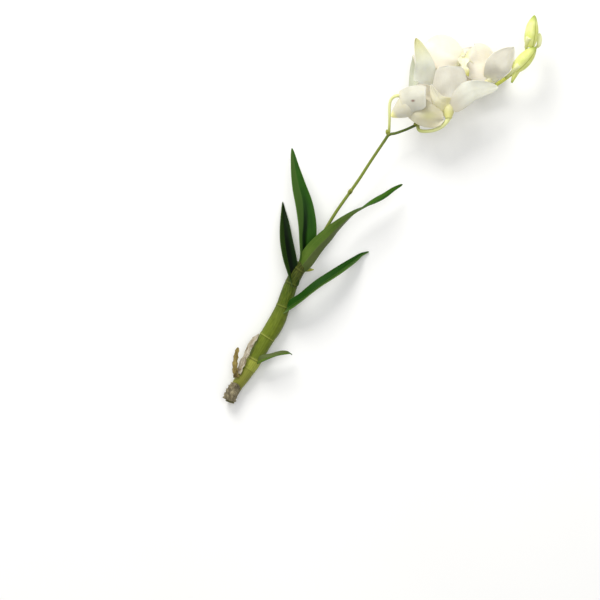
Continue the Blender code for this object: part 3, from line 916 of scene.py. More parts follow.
@dataclass
class Rod:
    """A round stem along a route whose stations end in a radius."""

    route: Route
    stations: int
    sides: int
    shape: Callable[[float, float], float] = field(default=lambda share, turn: 1.0)
    levels: int = 1

    def made(self, name: str, skin: Material, end: Material | None = None) -> Object:
        """Builds the rod.

        Args:
            name: the object's name.
            skin: the material of its side.
            end: the material of its two ends, or none for the same one.

        Returns:
            The new object, with its smoothing as a modifier.
        """
        even = self.route.evened(self.stations)
        form = bmesh.new()
        form.loops.layers.uv.new("UVMap")
        bmesh.ops.create_grid(form, x_segments=self.stations - 1, y_segments=self.sides, size=1.0,
                              calc_uvs=True)
        crosses = self.crosses(even)
        for vert in form.verts:
            share, turn = (vert.co.x + 1) / 2, (vert.co.y + 1) / 2
            index = round(share * (self.stations - 1))
            side, up = crosses[index]
            angle = 2 * math.pi * turn
            radius = even.stations[index][3] * self.shape(share, turn % 1.0)
            middle = Vector(even.stations[index][:3])
            vert.co = place(middle + (side * math.cos(angle) + up * math.sin(angle)) * radius)
        bmesh.ops.remove_doubles(form, verts=form.verts, dist=0.002 * MM)
        rims = [edge for edge in form.edges if edge.is_boundary]
        ends = bmesh.ops.holes_fill(form, edges=rims, sides=0)["faces"]
        for cap in bmesh.ops.poke(form, faces=ends)["faces"]:
            cap.material_index = 1 if end else 0
        bmesh.ops.recalc_face_normals(form, faces=form.faces)
        obj = new_object(name, form, (skin, end) if end else (skin,))
        rounded(obj, self.levels)
        return obj

    @staticmethod
    def crosses(even: Route) -> list[tuple[Vector, Vector]]:
        """Finds two directions across the rod at each station, carried along it without a twist.

        Args:
            even: the route's stations.

        Returns:
            For each station the sideways and the upward direction.
        """
        points = [Vector(station[:3]) for station in even.stations]
        made: list[tuple[Vector, Vector]] = []
        up = Vector((0.0, 0.0, 1.0))
        for index in range(len(points)):
            ahead = points[min(index + 1, len(points) - 1)] - points[max(index - 1, 0)]
            ahead.normalize()
            up = (up - ahead * up.dot(ahead)).normalized()
            made.append((ahead.cross(up), up.copy()))
        return made


def egg(name: str, centre: Point, radii: Point, skin: Material, rings: int = 12) -> Object:
    """Makes a small egg-shaped piece.

    Args:
        name: the object's name.
        centre: its place in the plan.
        radii: its three radii in millimetres.
        skin: its material.
        rings: how many rings it has.

    Returns:
        The new object.
    """
    form = bmesh.new()
    form.loops.layers.uv.new("UVMap")
    bmesh.ops.create_uvsphere(form, u_segments=2 * rings, v_segments=rings, radius=MM, calc_uvs=True)
    bmesh.ops.scale(form, verts=form.verts, vec=Vector(radii))
    bmesh.ops.translate(form, verts=form.verts, vec=place(centre))
    return new_object(name, form, (skin,))


@dataclass
class Cane:
    """The jointed cane, from its cut end to the top node."""

    route: Route = Route((
        (-158, -195, 5.0, 4.6), (-155.5, -188, 5.4, 5.0), (-151, -179, 6.2, 5.8),
        (-145.2, -170.5, 6.8, 6.5),
        (-139.5, -162, 7.2, 7.1), (-134, -154, 7.4, 7.4), (-127.7, -142, 7.7, 7.7),
        (-121, -130.5, 8.0, 8.1),
        (-114.7, -121, 8.1, 8.4), (-109, -110.5, 8.0, 8.0), (-104.3, -99, 7.6, 7.2),
        (-100, -87.5, 8.2, 7.0),
        (-96.5, -77.5, 9.2, 6.8), (-92.5, -69, 10.4, 6.5), (-87.5, -61, 11.8, 6.0), (-83, -55, 13, 5.4),
        (-79.5, -50, 14, 4.2),
    ))
    node_shares: tuple[float, ...] = (0.105, 0.238, 0.305, 0.459, 0.669, 0.821, 0.918)
    waist: float = 0.045
    ridge: float = 0.055
    ridge_reach: float = 0.008
    furrow: float = 0.012
    furrows: int = 11
    scale_route: Route = Route(((-84, -61, 12, 3), (-78, -61.5, 12.5, 2), (-73, -61.5, 13, 0.5)))

    def profile(self, share: float, turn: float) -> float:
        """Shapes the cane's section.

        Args:
            share: how far along it is.
            turn: how far round, from 0 to 1.

        Returns:
            What the radius is multiplied by.
        """
        marks = (0.0, *self.node_shares, 1.0)
        low = max(mark for mark in marks if mark <= share)
        high = min([mark for mark in marks if mark > share] or [1.01])
        swell = 1 - self.waist * (0.55 - math.sin(math.pi * (share - low) / (high - low)))
        away = min(abs(share - mark) for mark in self.node_shares)
        swell += self.ridge * max(0.0, 1 - away / self.ridge_reach)
        return swell + self.furrow * math.cos(2 * math.pi * self.furrows * turn)

    def build(self, skin: Material, cut: Material, scale: Material) -> None:
        """Builds the cane and the scale at its top node.

        Args:
            skin: the cane's finish.
            cut: the finish of its cut end.
            scale: the finish of the scale.
        """
        rod = Rod(self.route, stations=240, sides=44, shape=self.profile, levels=0)
        settled(rod.made("cane_stem", skin, cut), "cane")
        point = Rod(self.scale_route, stations=14, sides=12)
        settled(point.made("cane_scale", scale), "cane")


@dataclass
class Leaf:
    """One strap leaf, folded along its midrib, whose foot clasps the cane."""

    name: str
    route: Route
    facings: Route
    outline: Outline
    fold: float
    clasp: float
    thickness: float = 0.9

    def cup(self, share: float) -> float:
        """Returns the cross section's curvature, strong where the foot clasps the cane."""
        return max(0.0, 1 - share / 0.16) ** 2 / self.clasp + 0.012

    def build(self, face: Material, back: Material) -> None:
        """Builds the leaf.

        Args:
            face: the finish of its upper side.
            back: the finish of its underside.
        """
        blade = Blade(self.route, self.facings, self.outline.width, self.thickness, fold=self.fold,
                      cup=self.cup,
                      ripple=0.5, crease=0.35, sway=0.5, seed=len(self.name) + ord(self.name[-1]), along=64,
                      across=18)
        settled(blade.made(self.name + "_blade", face, back), self.name)


LEAVES: tuple[Leaf, ...] = (
    Leaf(
        "leaf_1",
        Route(((-129.5, -154, 13.5), (-124.5, -151.5, 17), (-117.5, -149.3, 18), (-110, -147, 18.3),
               (-103, -145.3, 17.5), (-98, -145.2, 15.5), (-95.3, -147, 11))),
        Route(((-0.4, 0.3, 0.6), (-0.3, 0.75, 0.55), (-0.2, 0.75, 0.6), (0.2, 0.8, 0.5))),
        Outline(4.4, 0.42, 3.2, 0.8), fold=22, clasp=8.6,
    ),
    Leaf(
        "leaf_2",
        Route(((-103, -103, 11), (-97, -98.3, 15.5), (-91, -94.5, 18), (-84, -90, 19.5), (-77, -84.5, 20.5),
               (-67, -76.7, 20), (-54, -67.8, 17), (-42, -59.2, 12), (-32, -51.8, 6.5), (-25, -46.3, 2.2),
               (-17.5, -43.3, 0.6))),
        Route(((-0.5, 0.2, 0.5), (-0.45, 0.6, 0.55), (-0.4, 0.65, 0.6), (-0.3, 0.6, 0.7),
               (-0.35, 0.6, 0.7))),
        Outline(7.4, 0.47, 4.4, 0.66), fold=20, clasp=7,
    ),
    Leaf(
        "leaf_3",
        Route(((-88, -61, 15), (-81, -52.5, 21), (-74, -43.5, 25), (-67, -36, 27), (-59, -28.5, 28.5),
               (-52, -21.5, 29), (-42, -12.8, 28.5), (-32, -4.9, 27.5), (-22, 1, 26), (-12, 6.8, 24),
               (-2, 12.5, 22), (7, 19, 20), (16, 24, 18))),
        Route(((0.1, -0.3, -0.95), (-0.35, 0.25, -0.9), (-0.5, 0.5, -0.7), (-0.65, 0.65, -0.15),
               (-0.42, 0.5, 0.75), (-0.2, 0.3, 0.95))),
        Outline(8.2, 0.41, 5.6, 0.64), fold=14, clasp=6.5,
    ),
    Leaf(
        "leaf_4",
        Route(((-84.5, -57, 13), (-81, -45, 18), (-80, -32, 21.5), (-80, -17, 24.5), (-83, 3, 27),
               (-87.8, 21, 27), (-91.8, 40, 24.5), (-95, 60.5, 19.6))),
        Route(((0.3, 0.2, 0.9), (0.25, 0.1, 0.95), (0.15, 0.05, 0.98), (0.05, 0.1, 0.98),
               (-0.1, 0.2, 0.95))),
        Outline(9.6, 0.5, 3.4, 0.82), fold=14, clasp=5,
    ),
    Leaf(
        "leaf_5",
        Route(((-94.5, -79, 13.5), (-96.5, -65, 15.5), (-99, -54, 15.5), (-101, -42, 14),
               (-102.5, -30, 11.5),
               (-103.5, -16, 7.5), (-104.1, -4, 3.2), (-104.5, 7, 0.6))),
        Route(((0.5, 0.1, 0.5), (0.4, 0.2, 0.8), (0.35, 0.2, 0.85), (0.4, 0.2, 0.8))),
        Outline(9.4, 0.42, 4.6, 0.8), fold=34, clasp=6.3,
    ),
)


@dataclass
class Sheath:
    """One dry, torn sheath beside the cane's foot."""

    name: str
    route: Route
    facing: Point
    half: float
    curl: float
    wave: float
    thickness: float = 0.5

    def width(self, share: float) -> float:
        """Returns the half width, narrower and ragged towards the torn end."""
        ragged = 1 + 0.14 * math.sin(31 * share) + 0.08 * math.sin(67 * share + 1)
        return self.half * (1 - 0.35 * share) * max(0.0, min(1.0, 6 * (1 - share))) ** 0.5 * ragged

    def build(self, face: Material, back: Material) -> None:
        """Builds the sheath.

        Args:
            face: the finish of the side towards the cane.
            back: the finish of the side that shows.
        """
        blade = Blade(self.route, Route((self.facing,)), self.width, self.thickness,
                      cup=lambda share: self.curl,
                      ripple=self.wave, waves=23, sway=1.2, seed=ord(self.name[-1]), along=44, across=16)
        settled(blade.made(self.name + "_paper", face, back), self.name)


SHEATHS: tuple[Sheath, ...] = (
    Sheath("sheath_collar", Route(((-158.5, -193, 13.2), (-156.5, -187, 13.9), (-153.5, -181, 14.4),
                                   (-150.5, -176, 14.6))), (0, 0, -1), 9, 0.14, 0.3),
    Sheath("sheath_tall", Route(((-149.5, -165.5, 13), (-144.5, -154, 14.5), (-140, -144, 15),
                                 (-135.5, -134.5, 14.5),
                                 (-128.5, -126, 13.5))), (0.55, -0.3, -0.78), 3.9, 0.06, 0.5),
    Sheath("sheath_short", Route(((-151, -170, 13.5), (-152.5, -160, 15.5), (-151.5, -149, 17),
                                  (-149.5, -139.5, 17))), (0.3, 0.1, -0.95), 3.2, 0.1, 0.5),
)


@dataclass
class Spike:
    """The flower spike: its bare stalk and zigzag axis, the flower stalks and the small bracts."""

    axis: Route = Route((
        (-83, -56, 10, 1.9), (-76, -44.5, 11.5, 1.85), (-65, -27, 13, 1.8), (-52, -5.5, 15, 1.75),
        (-42, 9, 17, 1.7), (-28.5, 28, 20, 1.65), (-15.5, 48, 23, 1.6), (-2, 68, 26, 1.6),
        (2, 73.5, 26.5, 1.65),
        (9, 75, 26.5, 1.5), (20, 79, 25.5, 1.45), (31, 84, 24, 1.5), (43, 87.5, 22, 1.4),
        (58, 94, 19, 1.35),
        (74, 102.5, 17.5, 1.3), (97, 116, 18, 1.25), (110, 124, 21, 2.0), (119, 130, 25, 2.0),
        (128, 137, 28, 1.6),
        (137, 146.5, 28.5, 1.3), (144, 155, 29, 1.1), (147.5, 159, 29.5, 1.1), (150, 161, 30, 1.0),
    ))
    stalk_radius: float = 1.4
    stalk_swell: float = 0.9
    stout_stalks: dict[str, float] = field(
        default_factory=lambda: {"bud_1": 1.15, "bud_2": 1.15, "bloom_3": 1.35})
    stalks: dict[str, Route] = field(default_factory=lambda: {
        "bloom_1": Route(((2, 73.5, 26.5), (2.5, 88, 30), (2.5, 103, 33), (5, 109.5, 35), (11, 112, 36.5),
                          (21, 109.5, 37))),
        "bloom_2": Route(((43, 87.5, 22), (42, 97, 19.5), (40, 108, 19), (37.5, 120, 23))),
        "bloom_3": Route(((31, 83.5, 24), (32, 78, 29), (38, 76.5, 34), (47, 77.5, 38), (55, 81.5, 40),
                          (61, 89, 40.5), (62, 99, 40))),
        "bloom_4": Route(((86, 109.5, 17.7), (86, 118, 13.5), (83, 131, 15), (78.5, 140.5, 23),
                          (77, 146, 33))),
        "bloom_5": Route(((106, 121, 20), (104.5, 123.5, 20), (103, 126, 22), (102, 128, 27))),
        "bud_1": Route(((119, 130.5, 25.5), (123.5, 134.5, 35), (127.5, 139, 42.5), (131, 142, 44))),
        "bud_2": Route(((144, 155, 29), (139.5, 158, 32), (138.8, 164, 39), (140.8, 169.5, 42.5))),
        "bud_3": Route(((148.5, 160, 30), (151, 162, 30))),
    })
    bracts: tuple[tuple[Point, Point], ...] = (
        ((-76, -44.5, 11.5), (-71, -36.5, 12.2)), ((-38, 14.8, 18), (-34, 20.5, 18.8)),
        ((2, 73.5, 26.5), (-0.5, 78.5, 27.5)), ((28, 82.5, 24.5), (30.5, 86.5, 24.5)),
        ((104, 120.5, 19.5), (108.5, 123, 20.6)),
    )
    bract_radii: tuple[float, float, float] = (2.0, 2.35, 0.7)

    def build(self, axis: Material, stalk: Material, bract: Material) -> None:
        """Builds the spike.

        Args:
            axis: the finish of its axis.
            stalk: the finish of the flower stalks.
            bract: the finish of the bracts.
        """
        settled(Rod(self.axis, stations=150, sides=10).made("spike_axis", axis), "spike")
        for holder, route in self.stalks.items():
            even = route.evened(24).stations
            stout = self.stout_stalks.get(holder, 1.0)
            swell = [self.stalk_radius * stout * (1 + self.stalk_swell * (i / 23) ** 4) for i in range(24)]
            line = Route(tuple((*spot[:3], radius) for spot, radius in zip(even, swell)))
            settled(Rod(line, stations=30, sides=10).made("stalk_of_" + holder, stalk), "spike")
        for number, (start, end) in enumerate(self.bracts, 1):
            belly = Vector(start).lerp(Vector(end), 0.5)
            foot, middle, tip = self.bract_radii
            line = Route(((*start, foot), (*belly, middle), (*end, tip)))
            settled(Rod(line, stations=12, sides=10).made(f"bract_{number}", bract), "spike")


class Kind(Enum):
    """The kinds of tepal: where each is widest, its half width at the foot and how blunt its tip is."""

    PETAL = (0.6, 2.4, 0.6)
    HOOD = (0.6, 4.5, 0.45)
    BELL = (0.66, 7.0, 0.22)
    SPADE = (0.56, 6.5, 1.1)
    SQUARE = (0.58, 8.0, 0.2)
    SAIL = (0.4, 5.0, 0.6)
    BOWL = (0.5, 6.0, 0.45)
    SEPAL = (0.42, 3.0, 0.8)
    BROAD = (0.42, 8.0, 0.75)

    def outline(self, half: float) -> Outline:
        """Returns the outline of a tepal of this kind with that greatest half width."""
        widest, neck, point = self.value
        return Outline(half, widest, neck, point)


@dataclass(frozen=True)
class Tepal:
    """One petal or sepal: it runs from the bloom's centre through its middle to its tip."""

    name: str
    kind: Kind
    middle: Point
    tip: Point
    half: float
    facing: Point
    cup: float
    foot: Point | None = None
    ripple: float = 0.8
    sway: float = 1.6


@dataclass
class Bloom:
    """One open bloom: five tepals round a core, the column in front, the chin behind, and the lip."""

    number: int
    centre: Point
    column: Point
    chin: Point
    chin_radius: float
    tepals: tuple[Tepal, ...]
    lip: Route
    lip_facing: Point
    core_radius: float = 3.4
    column_foot: float = 2.6
    column_radius: float = 2.1
    tepal_thickness: float = 0.55
    lip_thickness: float = 0.55
    chin_shares: tuple[Point, ...] = ((0, 0.75), (0.3, 1), (0.6, 0.97), (0.85, 0.68), (1, 0.35))
    chin_start: Point | None = None

    @property
    def node(self) -> str:
        """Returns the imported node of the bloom's body."""
        return f"bloom_{self.number}"

    def build_tepal(self, tepal: Tepal, face: Material, back: Material) -> None:
        """Builds one tepal.

        Args:
            tepal: its sizes.
            face: the finish of its inner side.
            back: the finish of its outer side.
        """
        start = tepal.foot or tuple(Vector(self.centre).lerp(Vector(tepal.middle), 0.06))
        blade = Blade(Route((start, tepal.middle, tepal.tip)), Route((tepal.facing,)),
                      tepal.kind.outline(tepal.half).width, self.tepal_thickness,
                      cup=lambda share: tepal.cup,
                      ripple=tepal.ripple, waves=9, crease=0.3, sway=tepal.sway,
                      seed=self.number * 3.1 + len(tepal.name),
                      along=28, across=18)
        settled(blade.made(f"{self.node}_{tepal.name}", face, back), self.node)

    def build_chin(self, finish: Material) -> None:
        """Builds the chin behind the bloom with its finish."""
        centre, chin = Vector(self.chin_start or self.centre), Vector(self.chin)
        line = Route(tuple((*centre.lerp(chin, t), self.chin_radius * share) for t,
                           share in self.chin_shares))
        settled(Rod(line, stations=20, sides=20).made(f"{self.node}_chin", finish), self.node)

    def build_column(self, finish: Material, cap: Material) -> None:
        """Builds the core, the column and its cap.

        Args:
            finish: the finish of the core and the column.
            cap: the finish of the cap.
        """
        centre, top = Vector(self.centre), Vector(self.column)
        middle = centre.lerp(top, 0.55)
        line = Route(((*centre, self.column_foot), (*middle, self.column_radius * 0.85),
                      (*top, self.column_radius)))
        settled(Rod(line, stations=14, sides=16).made(f"{self.node}_column", finish), self.node)
        radii = (self.core_radius,) * 3
        settled(egg(f"{self.node}_core", self.centre, radii, finish), self.node)
        dome = (self.column_radius * 1.1,) * 3
        settled(egg(f"{self.node}_cap", tuple(top), dome, cap), self.node)

    @staticmethod
    def lip_width(share: float) -> float:
        """Returns the lip's half width: side lobes near its foot, a waist, then the middle lobe."""
        lobes = 4.4 * math.exp(-(((share - 0.28) / 0.16) ** 2))
        tongue = 1.6 * math.exp(-(((share - 0.74) / 0.16) ** 2))
        return (1.8 + lobes + tongue) * max(0.0, min(1.0, 5 * (1 - share))) ** 0.8

    def build_lip(self, face: Material, back: Material) -> None:
        """Builds the lip, a trough under the column with a raised keel.

        Args:
            face: the finish of its inner side.
            back: the finish of its outer side.
        """
        blade = Blade(self.lip, Route((self.lip_facing,)), self.lip_width, self.lip_thickness,
                      cup=lambda share: 0.16 * max(0.0, 1 - share / 0.65) + 0.02, ripple=0.9, waves=19,
                      crease=-0.5, seed=self.number, along=30, across=16)
        settled(blade.made(f"lip_{self.number}_blade", face, back), f"lip_{self.number}")


BLOOMS: tuple[Bloom, ...] = (
    Bloom(
        1, (21, 106, 39), (28, 105, 40), (4, 91, 35.5), 11.2,
        (
            Tepal("near_petal", Kind.BELL, (25, 109, 50), (37.6, 110.2, 56.8), 14.4, (0.1, -0.1, -1), 0.06,
                  foot=(13.5, 104.8, 46), ripple=0.3, sway=0.5),
            Tepal("far_petal", Kind.PETAL, (34, 112, 34), (50, 106, 33), 13, (0.1, -0.25, 0.95), 0.03),
            Tepal("back_sepal", Kind.SEPAL, (26.6, 131, 22), (26.6, 154, 22), 6.6, (0.72, 0.04, -0.68),
                  0.03,
                  foot=(24, 113, 29)),
            Tepal("near_sepal", Kind.BOWL, (38, 92.2, 46), (56, 88, 43), 13.6, (0.1, 0.15, -0.98), 0.045),
            Tepal("far_sepal", Kind.SEPAL, (36, 97, 30), (50, 94, 28), 8, (0, 0.15, 0.97), 0.03),
        ),
        Route(((26, 105, 37), (33, 101.5, 38), (40, 98, 38), (47, 95.5, 37))), (0.1, 0.35, 0.9),
        chin_shares=((0, 0.9), (0.2, 1), (0.4, 0.9), (0.6, 0.7), (0.8, 0.44), (0.94, 0.2), (1, 0.08)),
        chin_start=(23.5, 104, 37),
    ),
    Bloom(
        2, (37, 121, 24), (35, 125, 18), (42, 116, 24), 3.8,
        (
            Tepal("back_sepal", Kind.BROAD, (37.2, 143, 41), (28, 169, 45), 10.6, (0.1, 0, -0.97), 0.02),
            Tepal("right_petal", Kind.PETAL, (49, 132, 14), (59, 143, 4), 11, (-0.5, -0.5, -0.6), 0.02),
            Tepal("left_petal", Kind.PETAL, (28, 111, 12), (22, 101, 3), 9, (0.4, 0.5, -0.7), 0.02),
            Tepal("right_sepal", Kind.SEPAL, (45, 109, 11), (52, 99, 0.4), 7, (-0.4, 0.6, -0.6), 0.02),
            Tepal("left_sepal", Kind.SEPAL, (35, 137, 12), (34, 151, 0.4), 7, (0, -0.6, -0.7), 0.02),
        ),
        Route(((34, 124, 17), (31, 128, 12.5), (29, 132.5, 9), (28, 138, 7.5))), (0.3, -0.3, -0.9),
    ),
    Bloom(
        3, (62, 100, 40), (62, 106, 36), (60.8, 88.5, 41.5), 5.8,
        (
            Tepal("left_sepal", Kind.BROAD, (50, 106.5, 48), (43, 122, 52), 7.6, (0.3, 0.1, -0.95), 0.03),
            Tepal("up_petal", Kind.SQUARE, (62.6, 121, 46), (62.6, 141, 46.5), 17.4, (0, 0.1, -0.98),
                  0.015),
            Tepal("right_petal", Kind.SAIL, (82.5, 116, 50), (110.5, 120, 40), 11.7, (0, -0.2, -0.98), 0.03,
                  foot=(61.5, 101.5, 41.5)),
            Tepal("low_sepal", Kind.SEPAL, (56, 109, 28), (52, 118, 14), 6.5, (0, -0.8, -0.5), 0.02),
            Tepal("far_sepal", Kind.SEPAL, (68, 111, 28), (70, 121, 14), 6, (0, -0.8, -0.5), 0.02),
        ),
        Route(((62.5, 105, 34.5), (62, 110.5, 30.5), (63, 116, 27), (66, 121, 25.5))), (0.1, 0.4, -0.9),
        core_radius=2.0, column_foot=2.0, chin_shares=((0, 0.8), (0.35, 1), (0.7, 0.8), (1, 0.55)),
        chin_start=(61.5, 103, 37.5),
    ),
    Bloom(
        4, (77, 147, 33), (75.5, 152, 39.5), (74, 138.5, 22), 3.8,
        (
            Tepal("left_petal", Kind.PETAL, (58, 155, 33), (36.5, 161, 22), 17.5, (-0.2, 0.05, 0.97),
                  -0.008),
            Tepal("right_petal", Kind.HOOD, (92, 145.6, 30), (108, 153, 23), 20, (0.15, 0.05, 0.98), -0.01),
            Tepal("back_sepal", Kind.SEPAL, (81, 155, 28), (90, 160, 17), 7.5, (0.3, 0.4, 0.85), 0.02),
            Tepal("left_sepal", Kind.SEPAL, (69, 138, 28), (61, 127, 22), 7.5, (-0.2, -0.3, 0.9), 0.02),
            Tepal("right_sepal", Kind.SEPAL, (80.5, 135, 28), (82, 119, 26), 9, (0.1, -0.2, 0.95), 0.02),
        ),
        Route(((76.5, 152, 38), (76, 145, 42), (77.5, 138, 43.5), (81, 130.5, 43))), (0, 0.4, 0.9),
    ),
    Bloom(
        5, (102, 128, 27), (105, 132, 22), (97, 124, 26), 3.8,
        (
            Tepal("near_petal", Kind.SPADE, (110.3, 141, 43), (126, 160, 45), 12.8, (-0.2, -0.1, -0.95),
                  0.02),
            Tepal("left_petal", Kind.PETAL, (95, 137, 14), (90, 149, 4), 10, (0.4, -0.5, -0.7), 0.02),
            Tepal("right_sepal", Kind.SEPAL, (109, 136, 13), (115, 147, 2), 7.5, (-0.4, -0.5, -0.7), 0.02),
            Tepal("low_sepal", Kind.SEPAL, (100, 134, 11), (99, 141, 0.4), 6, (0, -0.6, -0.6), 0.02),
            Tepal("left_sepal", Kind.SEPAL, (93, 124, 13), (86, 121, 3), 6, (0.7, 0.3, -0.6), 0.02),
        ),
        Route(((106, 129.5, 21), (110, 131, 16), (114, 133.5, 12), (118, 137, 10))), (-0.4, 0.3, -0.85),
    ),
)


@dataclass
class Bud:
    """One closed bud with the short chin at its base."""

    number: int
    body: Route
    chin: Point
    seam_depth: float = 0.08
    seam_width: float = 0.05
    phase: float = 0.5

    def profile(self, share: float, turn: float) -> float:
        """Shapes the bud's section with a groove along each of its three seams.

        Args:
            share: how far along it is.
            turn: how far round, from 0 to 1.

        Returns:
            What the radius is multiplied by.
        """
        spot = (turn * 3 + self.phase) % 1.0
        away = min(spot, 1 - spot)
        return 1 - self.seam_depth * math.sin(math.pi * share) * math.exp(-((away / (3 * self.seam_width)) ** 2))

    def build(self, skin: Material) -> None:
        """Builds the bud's body and its chin with their finish."""
        name = f"bud_{self.number}"
        settled(Rod(self.body, stations=36, sides=36, shape=self.profile).made(name + "_body", skin), name)
        heart = self.body.stations[1]
        start, end = Vector(heart[:3]), Vector(self.chin)
        line = Route(tuple((*start.lerp(end, t),
                            heart[3] * (0.75 - 0.6 * t)) for t in (0.0, 0.35, 0.7, 1.0)))
        settled(Rod(line, stations=16, sides=14).made(name + "_chin", skin), name)


BUDS: tuple[Bud, ...] = (
    Bud(1, Route(((127, 136, 36, 3.4), (130.5, 141, 37, 6.6), (136.5, 147.5, 38, 7.6), (142.5, 154, 38, 6),
                  (146.5, 158, 37.5, 3), (148.5, 160, 37, 0.6))), (124.4, 125, 33)),
    Bud(2,
        Route(((142.8, 160.6, 34, 4.2), (143, 167, 35.5, 6.5), (144, 174.5, 36, 7), (145, 182.5, 36, 5.8),
                  (146.5, 189, 35.5, 3), (147.2, 192.3, 35, 0.6))), (147, 163, 34)),
    Bud(3, Route(((151.5, 161.2, 30, 1.2), (152, 164, 30, 2.4), (152.6, 168.5, 30, 2.7),
                  (152.6, 172.5, 30, 1.9),
                  (152.4, 175, 30, 0.5))), (153.5, 161.8, 30)),
)


@dataclass
class Studio:
    """The pale floor, the soft lights and the camera."""

    floor_size: float = 2.5
    floor_drop: float = 0.0004
    distance: float = 3.0
    view_width: float = 0.6
    sensor: float = 36.0
    aim: tuple[float, float] = (-0.0821, -0.0900)
    clear_height: float = 0.03
    sky: float = 0.62
    lights: tuple[tuple[str, Point, float, float, Colour], ...] = (
        ("window", (-0.7, 1.6, 1.3), 35.0, 1.0, (1.0, 0.98, 0.95, 1.0)),
        ("ceiling", (0.2, 0.2, 2.4), 14.0, 1.4, (0.97, 0.98, 1.0, 1.0)),
    )

    def build_floor(self, finish: Material) -> None:
        """Lays the floor under the stem with its finish."""
        form = bmesh.new()
        bmesh.ops.create_grid(form, x_segments=1, y_segments=1, size=self.floor_size)
        bmesh.ops.translate(form, verts=form.verts, vec=Vector((0, 0, CAD_BOX[0].z - self.floor_drop)))
        new_object("floor", form, (finish,))

    def build_light(self, name: str, spot: Point, power: float, size: float, colour: Colour) -> None:
        """Hangs one soft square light that looks at the stem.

        Args:
            name: the light's name.
            spot: its place in metres.
            power: its power in watts.
            size: its side in metres.
            colour: its colour.
        """
        lamp = bpy.data.lights.new(name, "AREA")
        lamp.energy = power
        lamp.size = size
        lamp.color = colour[:3]
        obj = bpy.data.objects.new(name, lamp)
        obj.location = spot
        obj.rotation_euler = (-Vector(spot)).to_track_quat("-Z", "Y").to_euler()
        bpy.context.scene.collection.objects.link(obj)

    def build_camera(self) -> None:
        """Hangs the camera straight above the stem, with the picture's top towards +Y."""
        lens = bpy.data.cameras.new("camera")
        lens.sensor_width = self.sensor
        lens.lens = self.sensor * self.distance / self.view_width
        lens.clip_end = 20.0
        obj = bpy.data.objects.new("camera", lens)
        obj.location = (*self.aim, self.distance + self.clear_height)
        bpy.context.scene.collection.objects.link(obj)
        bpy.context.scene.camera = obj

    def build(self, finish: Material) -> None:
        """Builds the whole studio, with the floor's finish."""
        self.build_floor(finish)
        for light in self.lights:
            self.build_light(*light)
        self.build_camera()
        bpy.context.scene.view_settings.view_transform = "Standard"
        world = bpy.data.worlds.new("studio")
        world.use_nodes = True
        world.node_tree.nodes["Background"].inputs["Color"].default_value = (1.0, 1.0, 1.0, 1.0)
        world.node_tree.nodes["Background"].inputs["Strength"].default_value = self.sky
        bpy.context.scene.world = world


